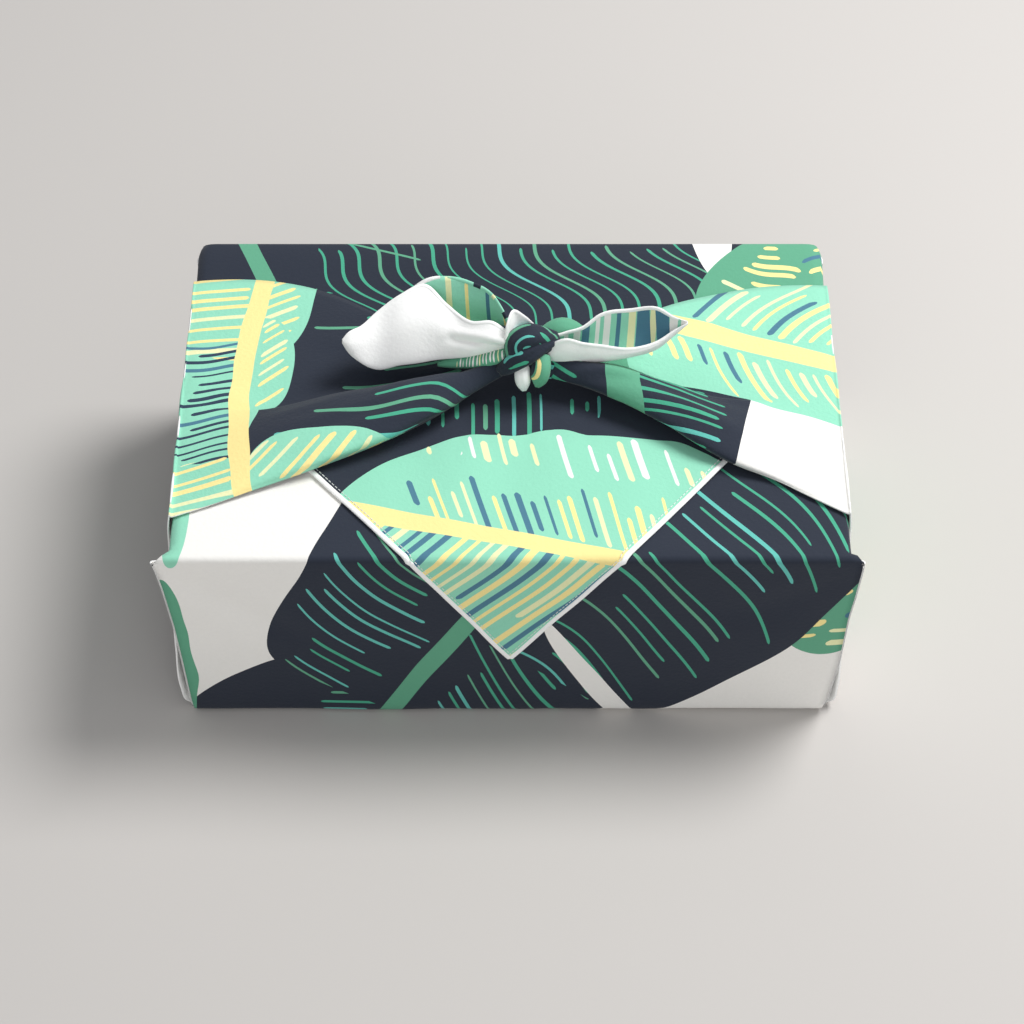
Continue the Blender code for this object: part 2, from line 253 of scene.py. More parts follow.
def fold_out(side, z):
    table = np.array(FRONT_FOLD[side])
    return np.interp(z, table[:, 0], table[:, 1])


def flap_reach(side, y):
    """Half width of the back sheet on top, cut by its slanting hem."""
    share = min(1, (y + HALF_DEPTH) / (FLAP_SIDE_Y + HALF_DEPTH))
    return FLAP_EDGE[side] + share * (HALF_WIDTH - FLAP_EDGE[side])


def corner_reach(y):
    """Half width at the back, where the upright corner is rounded in plan."""
    into = max(0, y - (back_y - BACK_CORNER)) / BACK_CORNER
    return HALF_WIDTH - HALF - BACK_CORNER * (1 - math.sqrt(max(0, 1 - min(1, into) ** 2)))


print("Flap half widths at the front edge:", FLAP_EDGE)

# %% Rows across the strip
ACROSS = np.linspace(-1, 1, 85)


def row_across(y, z, reach, drop):
    """One row: flat across the box, and where cloth is left over it turns down over the side."""
    row = []
    for share in ACROSS:
        half = reach["left"] if share < 0 else reach["right"]
        if drop > 0:
            flat = half - SIDE_TURN
            bend = SIDE_TURN * math.pi / 2
            gone = abs(share) * (flat + bend + drop)
            angle = min(max(gone - flat, 0) / SIDE_TURN, math.pi / 2)
            out = min(gone, flat) + SIDE_TURN * math.sin(angle)
            fall = SIDE_TURN * (1 - math.cos(angle)) + max(0, gone - flat - bend)
        else:
            out = abs(share) * half
            fall = 0
        row.append((math.copysign(out, share), y, z - fall))
    return row


def lay_rows(path, reach_at, drop_at):
    rows = []
    for y, z in path:
        reach = {side: reach_at(side, y, z) for side in ("left", "right")}
        rows.append(row_across(y, z, reach, drop_at(y, z)))
    return np.array(rows)


def front_reach(side, y, z):
    if z > UNDER_TOP - FRONT_TURN:
        away = step_up(y, front_y, front_y + 6)
        return fold_out(side, z) * (1 - away) + (HALF_WIDTH - HALF) * away
    if z < BASE_TURN:
        inset = HALF_WIDTH - 4 - fold_out(side, z)
        return fold_out(side, z) + inset * step_up(y, front_y, front_y + 20)
    return fold_out(side, z)


def back_reach(side, y, z):
    if z < BASE_TURN:
        return HALF_WIDTH - 4
    return HALF_WIDTH - HALF - BACK_CORNER


def over_reach(side, y, z):
    return min(flap_reach(side, y), corner_reach(y))


def hang_reach(side, y, z):
    share = (z - FLAP_TIP_Z) / (BACK_SHEET_TOP - FLAP_TIP_Z)
    return 1.0 + (FLAP_EDGE[side] - 1.0) * share


def under_drop(y, z):
    if z < UNDER_TOP - FRONT_TURN:
        return 0
    return SIDE_DROP * step_up(y, front_y, front_y + 8) * (1 - step_up(y, 50, 66))


def over_drop(y, z):
    return SIDE_DROP * step_up(y, FLAP_SIDE_Y, FLAP_SIDE_Y + 3) * step_up(-y, -back_y, -back_y + 3)


front_grid = lay_rows(under_path + front_path, front_reach, under_drop)
behind_grid = lay_rows(back_path, back_reach, lambda y, z: 0)
back_grid = np.concatenate([behind_grid, lay_rows(over_path, over_reach, over_drop)])
hang_grid = lay_rows(hang_path, hang_reach, lambda y, z: 0)
joint_row = back_grid[:1]
front_grid = np.concatenate([front_grid, joint_row])
back_grid = np.concatenate([back_grid, hang_grid])
print("Front rows", len(front_grid), "back rows", len(back_grid))

# %% Places on the flat cloth
def strip_places(grid, first_t):
    """x as it is, and the distance along the cloth, which falls from the given start."""
    middle = grid[:, len(ACROSS) // 2]
    gone = np.concatenate([[0], np.cumsum(np.linalg.norm(np.diff(middle, axis=0), axis=1))])
    return np.stack([grid[:, :, 0], np.repeat((first_t - gone)[:, None], len(ACROSS), axis=1)], axis=2)


front_place = strip_places(front_grid, 0)
front_edge_row = len(under_path)
front_place[:, :, 1] += BOX_TOP - front_place[front_edge_row, 0, 1]
back_place = strip_places(back_grid, front_place[-1, 0, 1])
middle_y = back_grid[len(back_path):len(back_path) + len(top_path), len(ACROSS) // 2, 1]
middle_t = back_place[len(back_path):len(back_path) + len(top_path), 0, 1]
TOP = float(np.interp(0, middle_y[::-1], middle_t[::-1]))
print("Cloth along the strip, mm:", round(front_place[0, 0, 1]), "to", round(back_place[-1, 0, 1]))
print(f"Middle of the top: {TOP:.1f} mm along the cloth")

# %% Soft creases in the strip
FRONT_CREASES = [
    ((-153, 106), (-92, 58), 7, 1.1), ((-150, 92), (-112, 50), 5, -0.5),
    ((153, 104), (96, 70), 8, 0.5), ((60, 118), (140, 112), 5, -0.45),
]
FOOT_CREASES = [((-70, 2), (-10, 26), 7, -0.5)]
u, v = front_place[:, :, 0], front_place[:, :, 1]
on_face = step_up(v, 3, 14) * (1 - step_up(v, 100, 110)) * (1 - step_up(np.abs(u), 132, 150))
swell = 0.5 * on_face * ripples(u, v, 70, 3) + 0.2 * on_face * ripples(u, v, 24, 4)
swell += creased(u, v, FRONT_CREASES) + on_face * creased(u, v, FOOT_CREASES)
on_top = step_up(v, 116, 124)
swell += 0.12 * on_top * ripples(u, v, 40, 5)
front_grid -= grid_normals(front_grid) * swell[:, :, None]

u, v = back_place[:, :, 0], back_place[:, :, 1]
behind = v - TOP
off_edge = 1 - step_up(np.abs(u), 135, 148)
flat_top = step_up(-behind, -84, -70)
swell = 0.22 * flat_top * off_edge * ripples(u, v, 38, 8)
hang = step_up(-behind, 84, 98)
swell += 0.35 * hang * ripples(u, v, 30, 9)
swell += 0.5 * step_up(-behind, 20, 40) * (1 - step_up(-behind, 80, 95)) * ripples(u, v, 45, 10)
for x, size in ((-14, 1.0), (-4, 0.8), (8, 1.1), (17, 0.8), (27, 0.9), (37, 0.6)):
    swell += 0.4 * size * crease(u, behind, (x, 4), (x * 1.5 - 4, -34 * size - 6), 2.2)
on_back = v > back_place[len(back_path), 0, 1]
back_face = on_back * step_up(-v, 205, 216) * off_edge
face_swell = 0.5 * ripples(u, v, 75, 12) + 0.18 * ripples(u, v, 26, 13)
swell = np.where(on_back, back_face * face_swell, swell)
back_grid -= grid_normals(back_grid) * swell[:, :, None]

add_stretch("front and under the box", front_grid, front_place, "front", turned=True)
add_stretch("back, top and flap", back_grid, back_place, "back", turned=True)

# %% [markdown]
# The folded-out corners.
# Where a flat cloth goes round an upright edge of the box there is cloth to spare. It is pinched
# into a small fold that leans along the side, and it shows at the front corners as little ears.
# Each one is a strip that starts on the edge of the middle strip, turns round the nose of the
# fold and lies back along the side under the wing.

# %% Corner folds
GUSSET_X = HALF_WIDTH - HALF - 0.9
GUSSET_END_Y = 40.0


def corner_rows(side, path, facing):
    sign = -1 if side == "left" else 1
    rows = []
    for y, z in path:
        if facing < 0:
            tip = fold_out(side, z)
            behind_fold = min(tip - 0.9, GUSSET_X + 1.5)
            points = [
                (tip, y), (tip + 0.3, y + 0.6), (tip - 0.4, y + 1.4), (behind_fold, y + 1.7),
                (min(GUSSET_X, behind_fold), y + 4.5), (GUSSET_X, y + 10), (GUSSET_X, y + 16),
                (GUSSET_X, -GUSSET_END_Y),
            ]
        else:
            lift = 1.6 * step_up(z, 60, 98)
            reach = HALF_WIDTH - HALF - BACK_CORNER
            points = [
                (reach, y), (reach + 0.45 * BACK_CORNER, y - 0.1), (GUSSET_X - 0.6 + lift, y - 2.2),
                (GUSSET_X + 0.4 + lift, y - 5.5), (GUSSET_X, y - 12), (GUSSET_X, y - 20),
                (GUSSET_X, GUSSET_END_Y),
            ]
        rows.append([(sign * out, deep, z) for out, deep in points])
    return smooth_columns(np.array(rows), 3)


front_face = [(y, z) for y, z in front_path if z >= BASE_TURN + HALF - 0.01]
back_face_path = [(y, z) for y, z in back_path if z >= BASE_TURN + HALF - 0.01]
for side in ("left", "right"):
    sign = -1 if side == "left" else 1
    for facing, path, name in ((-1, front_face, "front"), (1, back_face_path, "back")):
        grid = corner_rows(side, path, facing)
        edge_u = grid[:, :1, 0] + sign * lengths_across(grid)
        if facing < 0:
            first = front_edge_row
            rows_v = front_place[first:first + len(path), :1, 1]
            seam = front_grid[first:first + len(path), 0 if sign < 0 else -1]
        else:
            first = next(i for i, (y, z) in enumerate(back_path) if z >= BASE_TURN + HALF - 0.01)
            rows_v = back_place[first:first + len(path), :1, 1]
            seam = back_grid[first:first + len(path), 0 if sign < 0 else -1]
        grid[:, 0] = seam
        place = np.stack([edge_u, np.repeat(rows_v, grid.shape[1], axis=1)], axis=2)
        add_stretch(f"{name} {side} corner", grid, place, name, turned=(sign * facing > 0))

# %% [markdown]
# The wings.
# The side corners of the cloth come up the sides and over the top. Behind a long crease each
# wing lies flat, and in front of it the cloth is pushed together into a soft roll that gets
# thinner and higher towards the knot. The tables hold one section per row.

# %% Sections of the wings, in millimetres
# Up the side: out, z, front y, back y
SIDE_ROWS = {
    "left": [
        (143.0, 1.15, -94, 95), (147.8, 1.5, -95, 96), (150.2, 4.2, -96, 96), (152.2, 12, -95, 95),
        (152.9, 35, -91, 90), (152.5, 65, -85, 84), (151.9, 92, -79.5, 78), (151.5, 104, -77, 75),
        (150.9, 108.2, -76, 74),
    ],
    "right": [
        (143.0, 1.15, -94, 95), (147.8, 1.5, -95, 96), (150.0, 4.2, -96, 96), (151.4, 12, -95, 95),
        (151.7, 35, -90, 90), (151.5, 65, -84, 83), (151.4, 92, -78, 76), (151.2, 104, -75, 72),
        (150.9, 108.2, -74, 71),
    ],
}

# Across the top: x, back y z, mid y z, crease y z, shoulder y z, crown y z, front y z, tuck y z
TOP_ROWS = {
    "left": [
        (-149, 74, 110.1, 38, 110.1, 0, 109.6, -12, 109.5, -36, 108.9, -68, 108.6, -76, 108.9),
        (-135, 75, 110.3, 36, 110.4, -6, 109.6, -14, 110.6, -38, 111.4, -65, 110.2, -70, 108.9),
        (-115, 74, 110.3, 34, 110.8, -9, 109.6, -15, 112.8, -34, 115.6, -57, 112.8, -61, 109.6),
        (-87, 66, 110.4, 32, 111.6, -4, 110.2, -9.5, 115.6, -27, 120.6, -48.5, 116.4, -48, 110.6),
        (-60, 49, 110.8, 26, 113.4, 1, 111.0, -4, 118.0, -18, 124.0, -37, 119.0, -34, 111.2),
        (-36, 32, 112.5, 18, 116.4, 1, 113.4, -1.5, 120.5, -12, 126.4, -25, 121.0, -19.5, 112.6),
        (-12, 5, 116.0, 7, 120.5, 4.5, 124.0, 2.5, 125.3, 0, 125.6, -4.5, 119.5, -0.5, 114.8),
        (-3, 9, 118.4, 11, 122.5, 9, 126.0, 7, 126.8, 5, 126.9, 0.9, 121.5, 4.4, 117.1),
    ],
    "right": [
        (149, 71, 110.1, 36, 110.1, 0, 109.6, -12, 109.4, -36, 108.9, -66, 108.6, -74, 108.9),
        (135, 71, 110.3, 35, 110.4, 0, 109.9, -10, 110.2, -34, 110.6, -60, 109.9, -65, 108.9),
        (118, 69.5, 110.3, 34, 110.6, -2, 109.9, -9, 111.6, -30, 113.4, -51.5, 111.6, -54, 109.4),
        (99, 65, 110.4, 33, 111.6, -5, 110.6, -10, 114.6, -27, 118.8, -45.5, 114.6, -44, 110.0),
        (68, 53, 110.8, 28, 114.0, 2, 111.6, -1, 118.4, -12, 124.2, -25, 118.4, -19, 111.2),
        (45, 34, 112.5, 21, 117.4, 9, 116.2, 6.5, 121.4, -0.5, 126.0, -10, 120.0, -5, 112.8),
        (23, 7.3, 117.1, 9.2, 121.5, 7, 125.4, 5.2, 126.3, 3, 126.6, -1.4, 120.5, 2.3, 116.0),
        (14, 8.3, 118.0, 10, 121.6, 8.4, 125.0, 6.8, 126.0, 5, 126.2, 0.6, 121.4, 3.6, 117.4),
    ],
}
WING_STEPS = 7
WING_ACROSS_STEPS = 9
SIDE_POINTS = 7


def section(row):
    return [(row[0], row[i], row[i + 1]) for i in range(1, len(row), 2)]


def wing_grid(side):
    sign = -1 if side == "left" else 1
    rows = []
    for out, z, front, back in SIDE_ROWS[side]:
        rows.append([(sign * out, y, z) for y in np.linspace(back, front, SIDE_POINTS)])
    rows += [section(row) for row in TOP_ROWS[side]]
    return smooth_columns(smooth_rows(rows, WING_STEPS), WING_ACROSS_STEPS)


# %% Wings with their creases
# Creases on the flat wing: from, to, width and depth, so here a minus sign is a ridge
WING_CREASES = {
    "left": [
        ((-112, -24), (-24, -8), 4.0, 0.9), ((-100, -40), (-30, -19), 3.0, -0.8),
        ((-70, -20), (-14, -4), 2.4, 0.9), ((-80, 14), (-18, 6), 4.5, 1.2),
        ((-104, 30), (-30, 13), 5.5, -0.9), ((-150, 4), (-112, -8), 5.0, 1.1),
        ((-95, -50), (-40, -30), 3.0, 0.7), ((-205, 10), (-150, 0), 8.0, 0.8),
        ((-222, -44), (-152, -30), 9.0, -0.8),
    ],
    "right": [
        ((118, -12), (40, 2), 3.6, 1.1), ((104, -26), (32, -6), 3.2, -0.8), ((82, -16), (20, 1), 2.4, 0.9),
        ((96, 26), (30, 18), 4.5, 0.9), ((130, 40), (44, 30), 6.0, -0.8), ((110, -36), (44, -16), 3.0, 0.8),
        ((205, 8), (150, 0), 8.0, 0.8), ((222, -40), (152, -26), 9.0, -0.8),
    ],
}

for side in ("left", "right"):
    sign = -1 if side == "left" else 1
    grid = wing_grid(side)
    side_rows = (len(SIDE_ROWS[side]) - 1) * WING_STEPS + 1
    up = lengths_along(grid)[:, grid.shape[1] // 2]
    edge = up[side_rows]
    across = lengths_across(grid)
    crease_column = 2 * WING_ACROSS_STEPS
    crease_y = grid[:, crease_column, 1][:, None]
    on_side_u = sign * (HALF_WIDTH + edge - up[:, None]) + 0 * across
    place_u = np.where(up[:, None] < edge, on_side_u, grid[:, :, 0])
    place_v = crease_y + across[:, crease_column][:, None] - across
    place = np.stack([place_u, place_v], axis=2)
    swell = -creased(place_u, place_v, WING_CREASES[side])
    near_knot = step_up(-np.abs(place_u), -125, -35)
    swell += 0.5 * ripples(place_u * 0.35, place_v, 11, 21) * near_knot
    swell += 0.3 * ripples(place_u, place_v, 34, 22)
    swell *= 1 - step_up(np.abs(place_u), 232, 248)
    hem = np.minimum(across, across[:, -1:] - across)
    swell *= step_up(hem, 0, 5)
    swell *= 1 - step_up(-np.abs(place_u), -26, -12)
    on_side = step_up(np.abs(place_u), HALF_WIDTH - 6, HALF_WIDTH + 8)
    swell = np.where(on_side > 0, np.maximum(swell, -0.5), swell)
    outward = -sign
    grid = grid + outward * grid_normals(grid) * swell[:, :, None]
    add_stretch(f"{side} wing", grid, place, f"{side} wing", turned=(side == "right"))

# %% [markdown]
# The knot.
# A square knot is two loops, each one round the other. Each loop is a gathered roll of cloth, so
# its section isn't a plain circle: pleats run along it. A ring of points with a wavy outline is
# carried along a smooth centre line, and the pleats turn a little on the way. A third short roll
# is the fold that shows below the front loop.

# %% Loops of the knot
# Centre lines in millimetres: x, y, z, radius
LOOPS = {
    "left loop": [
        (-14, 5, 119.5, 0.8), (-8, 7.5, 120.6, 4.4), (-1, 10.5, 121.4, 5.4), (5, 13.5, 122.2, 5.2),
        (9.5, 14.6, 125.3, 4.8), (10.6, 14.6, 129, 4.4), (9, 13.6, 132, 4.4), (4.5, 12.4, 133.6, 4.6),
        (0, 11.6, 134.4, 4.6), (-6, 11, 135.5, 4.4),
    ],
    "right loop": [
        (35, 4, 118.4, 0.8), (30, 4.8, 119.8, 3.4), (23, 5.4, 121.3, 4.8), (16, 5, 121.8, 5.2),
        (9.5, 3.2, 123.4, 5.2), (5.2, 2.8, 127.6, 5.2), (3.8, 3.6, 132.4, 5.6), (4.8, 5.4, 137.2, 6.3),
        (8.6, 6, 138.6, 6.6), (13, 6.6, 138, 5.6), (17, 7.6, 137, 4.2), (21, 9, 136, 2.4),
    ],
    "lower fold": [
        (-4, 3.4, 122.6, 3.2), (0.2, 1.6, 127.4, 4.4), (4, 0.6, 131.4, 4.9), (9.5, 1.4, 134.2, 4.6),
        (14.5, 3.6, 136, 3.7), (19, 6.4, 136.6, 2.7), (22, 8.4, 136.6, 1.2),
    ],
}
RING_POINTS = 34
LOOP_STEPS = 5


def rolled_cloth(rows, steps, pleats, depth, twist, seed):
    """A gathered roll: rings with wavy outlines along a centre line of x, y, z and radius."""
    line = smooth_rows(rows, steps)
    centres, radii = line[:, :3], line[:, 3]
    heading = np.gradient(centres, axis=0)
    heading /= np.linalg.norm(heading, axis=1, keepdims=True)
    side = np.cross(heading[0], (0, 0, 1.0))
    around = np.linspace(0, 2 * math.pi, RING_POINTS + 1)
    rng = np.random.default_rng(seed)
    shifts = rng.uniform(0, 2 * math.pi, 3)
    rings = []
    for i, centre in enumerate(centres):
        side = side - heading[i] * (side @ heading[i])
        side /= np.linalg.norm(side)
        other = np.cross(heading[i], side)
        far = i / len(centres)
        wave = np.abs(np.sin(pleats / 2 * around + shifts[0] + twist * far)) ** 0.7
        wave = wave + 0.4 * np.sin(2 * around + shifts[1] + 3 * far)
        reach = radii[i] + depth * (wave - 0.6)
        outward = np.cos(around)[:, None] * side + np.sin(around)[:, None] * other
        rings.append(centre + reach[:, None] * outward)
    return np.array(rings)


def roll_places(grid, shift):
    return np.stack([lengths_along(grid)[:, :1] + 0 * grid[:, :, 0] + shift, lengths_across(grid)], axis=2)


for name, rows in LOOPS.items():
    grid = rolled_cloth(rows, LOOP_STEPS, 5, 0.9, 1.6, len(name))
    finish = "lower fold" if name == "lower fold" else "knot"
    add_stretch(name, grid, roll_places(grid, 0), finish)

# %% Small ends and folds that peep out
ENDS = {
    "white": [(6, 1, 126.5, 3.0), (5.6, -2.5, 125, 3.2), (5.9, -5, 121.5, 2.8), (6.4, -6.2, 117.8, 0.6)],
    "end": [(14.5, 2, 131, 3.8), (14.2, -2.5, 128.4, 4.0), (13.4, -5, 124, 3.3), (12.4, -6.2, 120.2, 0.6)],
    "green fold": [
        (12, 13, 125, 2.4), (17, 17.6, 129, 4.2), (24, 19.8, 131, 5.0), (31, 18.6, 128.6, 4.2),
        (37, 15, 124, 0.8),
    ],
    "mint fold": [
        (-33, 5.2, 123, 0.6), (-28, 5, 123.8, 1.7), (-20, 4.8, 125, 2.7), (-13, 4.6, 126.2, 3.1),
        (-6, 4.6, 128.6, 3.0), (0, 5, 131, 2.2),
    ],
}
for name, rows in ENDS.items():
    grid = rolled_cloth(rows, LOOP_STEPS, 3, 0.4, 0.5, 5)
    add_stretch(name, grid, roll_places(grid, 0), name)

# The hem that stands up beside the knot: points on its rim and points on the knot
COLLAR_RIM = [
    (-2.4, 4.6, 139.6), (-1.2, 7.6, 147), (1.6, 13.2, 149.6), (6.3, 13.4, 146), (11.3, 12, 141.3),
    (16.8, 9.4, 136.8),
]
COLLAR_FOOT = [
    (-0.8, 4.4, 138), (0.6, 8, 139.6), (3.8, 11.4, 140), (7.6, 12, 139.4), (12, 11.4, 137.6),
    (16.6, 9.6, 134.6),
]
collar_grid = smooth_columns(smooth_rows([list(pair) for pair in zip(COLLAR_RIM, COLLAR_FOOT)], 6), 5)
add_stretch("collar", collar_grid, roll_places(collar_grid, 0), "white")

# %% [markdown]
# The tails.
# What is left of the two side corners stands up from the knot. Each tail is folded lengthwise
# like a pod: the white wrong side is outside and the print is inside. A row of its table is a
# section with a near rim, a belly, a keel, a rise and a far rim.

# %% Sections of the tails, in millimetres
# x, near rim y z, belly y z, keel y z, rise y z, far rim y z
TAILS = {
    "left tail": [
        (2, 7.5, 138, 5, 136, 6, 132.5, 9, 133.5, 11, 137.5),
        (-3, 8.6, 142.6, 4, 137.6, 5.8, 131.8, 12, 133.2, 18, 144.6),
        (-8, 10, 145.5, 3.5, 138, 5.6, 130.9, 16, 132, 26, 147.4),
        (-18, 11.5, 144.3, 3.6, 136, 5, 128.8, 20, 130.5, 32, 149.4),
        (-29, 22, 145.2, 8.5, 138.5, 4.5, 127.6, 21, 130.5, 34, 151),
        (-38, 31, 148.4, 12, 139.5, 4, 126.6, 21, 130, 33.2, 150.2),
        (-50, 28, 145.2, 12, 137, 3.5, 124.6, 19, 127, 30, 141.8),
        (-61, 22.3, 139.4, 10.5, 131.6, 4, 121.6, 15.5, 124, 24.5, 136),
        (-68, 16.2, 136.5, 9.5, 131, 5, 124.6, 12.5, 127, 18, 133.6),
        (-73.5, 12.4, 136.4, 8.6, 131.6, 8, 127.8, 12, 129.4, 14, 133),
        (-76.4, 10.4, 134, 9.8, 133, 10, 132.2, 10.8, 132.6, 11, 133.4),
    ],
    "right tail": [
        (15, 5.2, 131.5, 4.6, 130.6, 5.6, 129.4, 6.6, 130.2, 7, 131.2),
        (19, 4.4, 136.8, 2.8, 131.5, 6, 124.4, 10, 128, 11.5, 134),
        (25, 4, 140.4, 2, 133, 6.4, 121.6, 12, 126.5, 13.5, 135.4),
        (33, 4.2, 137.8, 2.8, 131.5, 6.6, 122.6, 13, 127.4, 15.6, 136.8),
        (41, 5, 135.6, 3.4, 130, 6.8, 124, 14, 128, 19, 141.5),
        (55, 4.8, 133.8, 3.6, 131.4, 7, 127, 14, 131, 20, 143.8),
        (67, 7, 136, 6, 134.4, 8.5, 130.5, 13.5, 134, 18, 146.7),
        (75, 10, 140.4, 9.6, 138.8, 11, 136.6, 12.6, 138.6, 14.6, 143.8),
        (80.6, 11.2, 143.5, 11.1, 143.2, 11.5, 142.9, 12, 143.2, 12.2, 143.6),
    ],
}
TAIL_STEPS = 6
TAIL_ACROSS_STEPS = 12
PRINTED_RIM_ROWS = 26
# The dent in the left tail is placed by how high it shows in the photograph
PICTURE_UP = (0.741, 0.672)
TAIL_CREASES = [((-29, 98), (0, 92.6), 1.9, -2.2), ((-27, 101), (-2, 96.2), 2.0, 0.9)]
tail_rims = [(collar_grid[:, 0], collar_grid[:, 1], "hem")]

for name, rows in TAILS.items():
    grid = smooth_columns(smooth_rows([section(row) for row in rows], TAIL_STEPS), TAIL_ACROSS_STEPS)
    across = lengths_across(grid)
    place = np.stack([np.abs(grid[:, :, 0]), across - across[:, -1:] / 2], axis=2)
    rim = np.minimum(across, across[:, -1:] - across)
    swell = 0.16 * ripples(place[:, :, 0], place[:, :, 1], 22, 31) * step_up(rim, 0, 6)
    printed_rows = 0
    if name == "left tail":
        printed_rows = PRINTED_RIM_ROWS
        outside = np.arange(grid.shape[1]) < 2 * TAIL_ACROSS_STEPS
        height = grid[:, :, 1:] @ PICTURE_UP
        swell += outside * creased(grid[:, :, 0], height, TAIL_CREASES)
    grid = grid + grid_normals(grid) * swell[:, :, None] * (1 if name == "left tail" else -1)
    tail_rims.append((grid[:, 0], grid[:, 1], "hem"))
    if printed_rows:
        tail_rims.append((grid[:printed_rows + 1, -1], grid[:printed_rows + 1, -2], "printed hem"))
    tail_rims.append((grid[printed_rows:, -1], grid[printed_rows:, -2], "hem"))
    add_stretch(name, grid, place, name, turned=(name == "right tail"))

# %% [markdown]
# The print.
# The pattern on this cloth is large banana leaves: a rib, an uneven outline and loose brush
# strokes that run out from the rib on both sides. One leaf is worked out in a shader node group
# from its place on the flat cloth, so the same group draws every leaf with other sizes and
# colours. Leaves are then laid over each other on a white ground, as a printer's screens would.

# %% Colours as they look on the cloth
def paint(red, green, blue):
    """A colour given as it shows on a screen, from 0 to 255, made linear for the shader."""
    shares = np.array([red, green, blue]) / 255
    return (*np.where(shares <= 0.04045, shares / 12.92, ((shares + 0.055) / 1.055) ** 2.4), 1)


WHITE = paint(243, 241, 236)
PLAIN_WHITE = paint(252, 252, 250)
NAVY = paint(36, 43, 57)
TEAL = paint(70, 168, 136)
AQUA = paint(98, 190, 178)
MINT = paint(146, 217, 188)
GREEN = paint(96, 166, 134)
YELLOW = paint(252, 232, 156)
STRAW = paint(238, 238, 186)
SLATE = paint(76, 124, 146)
INK = paint(44, 62, 84)
print("Navy in linear light:", [round(c, 3) for c in NAVY])

# %% Small helpers that place and wire nodes
def wire(tree, socket, value):
    """Link the value to the socket, or set it there if it is a constant."""
    if isinstance(value, bpy.types.NodeSocket):
        tree.links.new(value, socket)
    else:
        socket.default_value = value


def new_node(tree, kind, **settings):
    """A new node with its settings."""
    node = tree.nodes.new(kind)
    for key, value in settings.items():
        setattr(node, key, value)
    return node


def calc(tree, operation, *values):
    node = new_node(tree, "ShaderNodeMath", operation=operation)
    for socket, value in zip(node.inputs, values):
        wire(tree, socket, value)
    return node.outputs[0]


def blend_colours(tree, share, first, second):
    node = new_node(tree, "ShaderNodeMix", data_type="RGBA")
    wire(tree, node.inputs["Factor"], share)
    wire(tree, node.inputs[6], first)
    wire(tree, node.inputs[7], second)
    return node.outputs[2]


def ramp(tree, value, start, end):
    """0 at start, 1 at end and a straight rise between them."""
    node = tree.nodes.new("ShaderNodeMapRange")
    wire(tree, node.inputs["Value"], value)
    wire(tree, node.inputs["From Min"], start)
    wire(tree, node.inputs["From Max"], end)
    return node.outputs["Result"]


def new_group(name, inputs, outputs):
    """A shader node group with its sockets. inputs are name, kind and value."""
    group = bpy.data.node_groups.new(name, "ShaderNodeTree")
    for socket_name, kind, value in inputs:
        socket = group.interface.new_socket(socket_name, in_out="INPUT", socket_type="NodeSocket" + kind)
        socket.default_value = value
    for socket_name, kind in outputs:
        group.interface.new_socket(socket_name, in_out="OUTPUT", socket_type="NodeSocket" + kind)
    entry = group.nodes.new("NodeGroupInput")
    result = group.nodes.new("NodeGroupOutput")
    return group, entry.outputs, result.inputs


# %% Sums in the group that is being built
def add(first, second):
    return calc(g, "ADD", first, second)


def sub(first, second):
    return calc(g, "SUBTRACT", first, second)


def mul(first, second):
    return calc(g, "MULTIPLY", first, second)


def div(first, second):
    return calc(g, "DIVIDE", first, second)


def less(first, second):
    return calc(g, "LESS_THAN", first, second)


def more(first, second):
    return calc(g, "GREATER_THAN", first, second)


# %% The printed leaf group
LEAF_NUMBERS = {
    "Angle": 0, "Length": 200, "Left width": 40, "Right width": 40, "Bend": 0, "Lobe depth": 4,
    "Lobe length": 30, "Rib": 3, "Pitch": 7, "Stroke": 0.8, "Left slant": 0.3, "Right slant": 0.3, "Sweep": 0,
    "Wander": 1, "Wave": 90, "Skip": 0, "Start": 8, "Short": 0.5, "Gaps": 0.1, "Blunt": 0.45, "Fill": 1,
    "Second share": 0.3, "Third share": 0.2, "Seed": 0,
}
LEAF_COLOURS = {
    "Leaf": MINT, "Rib colour": YELLOW, "Stroke colour": YELLOW, "Second colour": STRAW,
    "Third colour": SLATE,
}
LEAF_INPUTS = [("Place", "Vector", (0, 0, 0)), ("Base", "Vector", (0, 0, 0))]
LEAF_INPUTS += [(key, "Float", value) for key, value in LEAF_NUMBERS.items()]
LEAF_INPUTS += [(key, "Color", value) for key, value in LEAF_COLOURS.items()]
g, leaf, leaf_out = new_group("printed leaf", LEAF_INPUTS, [("Colour", "Color"), ("Mask", "Float")])
leaf_group = g
turned_place = new_node(g, "ShaderNodeVectorRotate", rotation_type="Z_AXIS", invert=True)
wire(g, turned_place.inputs["Vector"], leaf["Place"])
wire(g, turned_place.inputs["Center"], leaf["Base"])
wire(g, turned_place.inputs["Angle"], leaf["Angle"])
from_base = new_node(g, "ShaderNodeVectorMath", operation="SUBTRACT")
wire(g, from_base.inputs[0], turned_place.outputs[0])
wire(g, from_base.inputs[1], leaf["Base"])
split = new_node(g, "ShaderNodeSeparateXYZ")
wire(g, split.inputs[0], from_base.outputs[0])
along = split.outputs["X"]
bent = sub(split.outputs["Y"], mul(leaf["Bend"], mul(along, along)))
is_left = more(bent, 0.0)
off_rib = calc(g, "ABSOLUTE", bent)
share = div(along, leaf["Length"])
inside = calc(g, "MAXIMUM", mul(share, sub(1.0, share)), 0.0)
fullness = calc(g, "POWER", mul(inside, 4.0), leaf["Blunt"])


def by_side(left_value, right_value):
    """The left value on the left of the rib and the right value on its right."""
    return add(right_value, mul(is_left, sub(left_value, right_value)))


width = by_side(leaf["Left width"], leaf["Right width"])

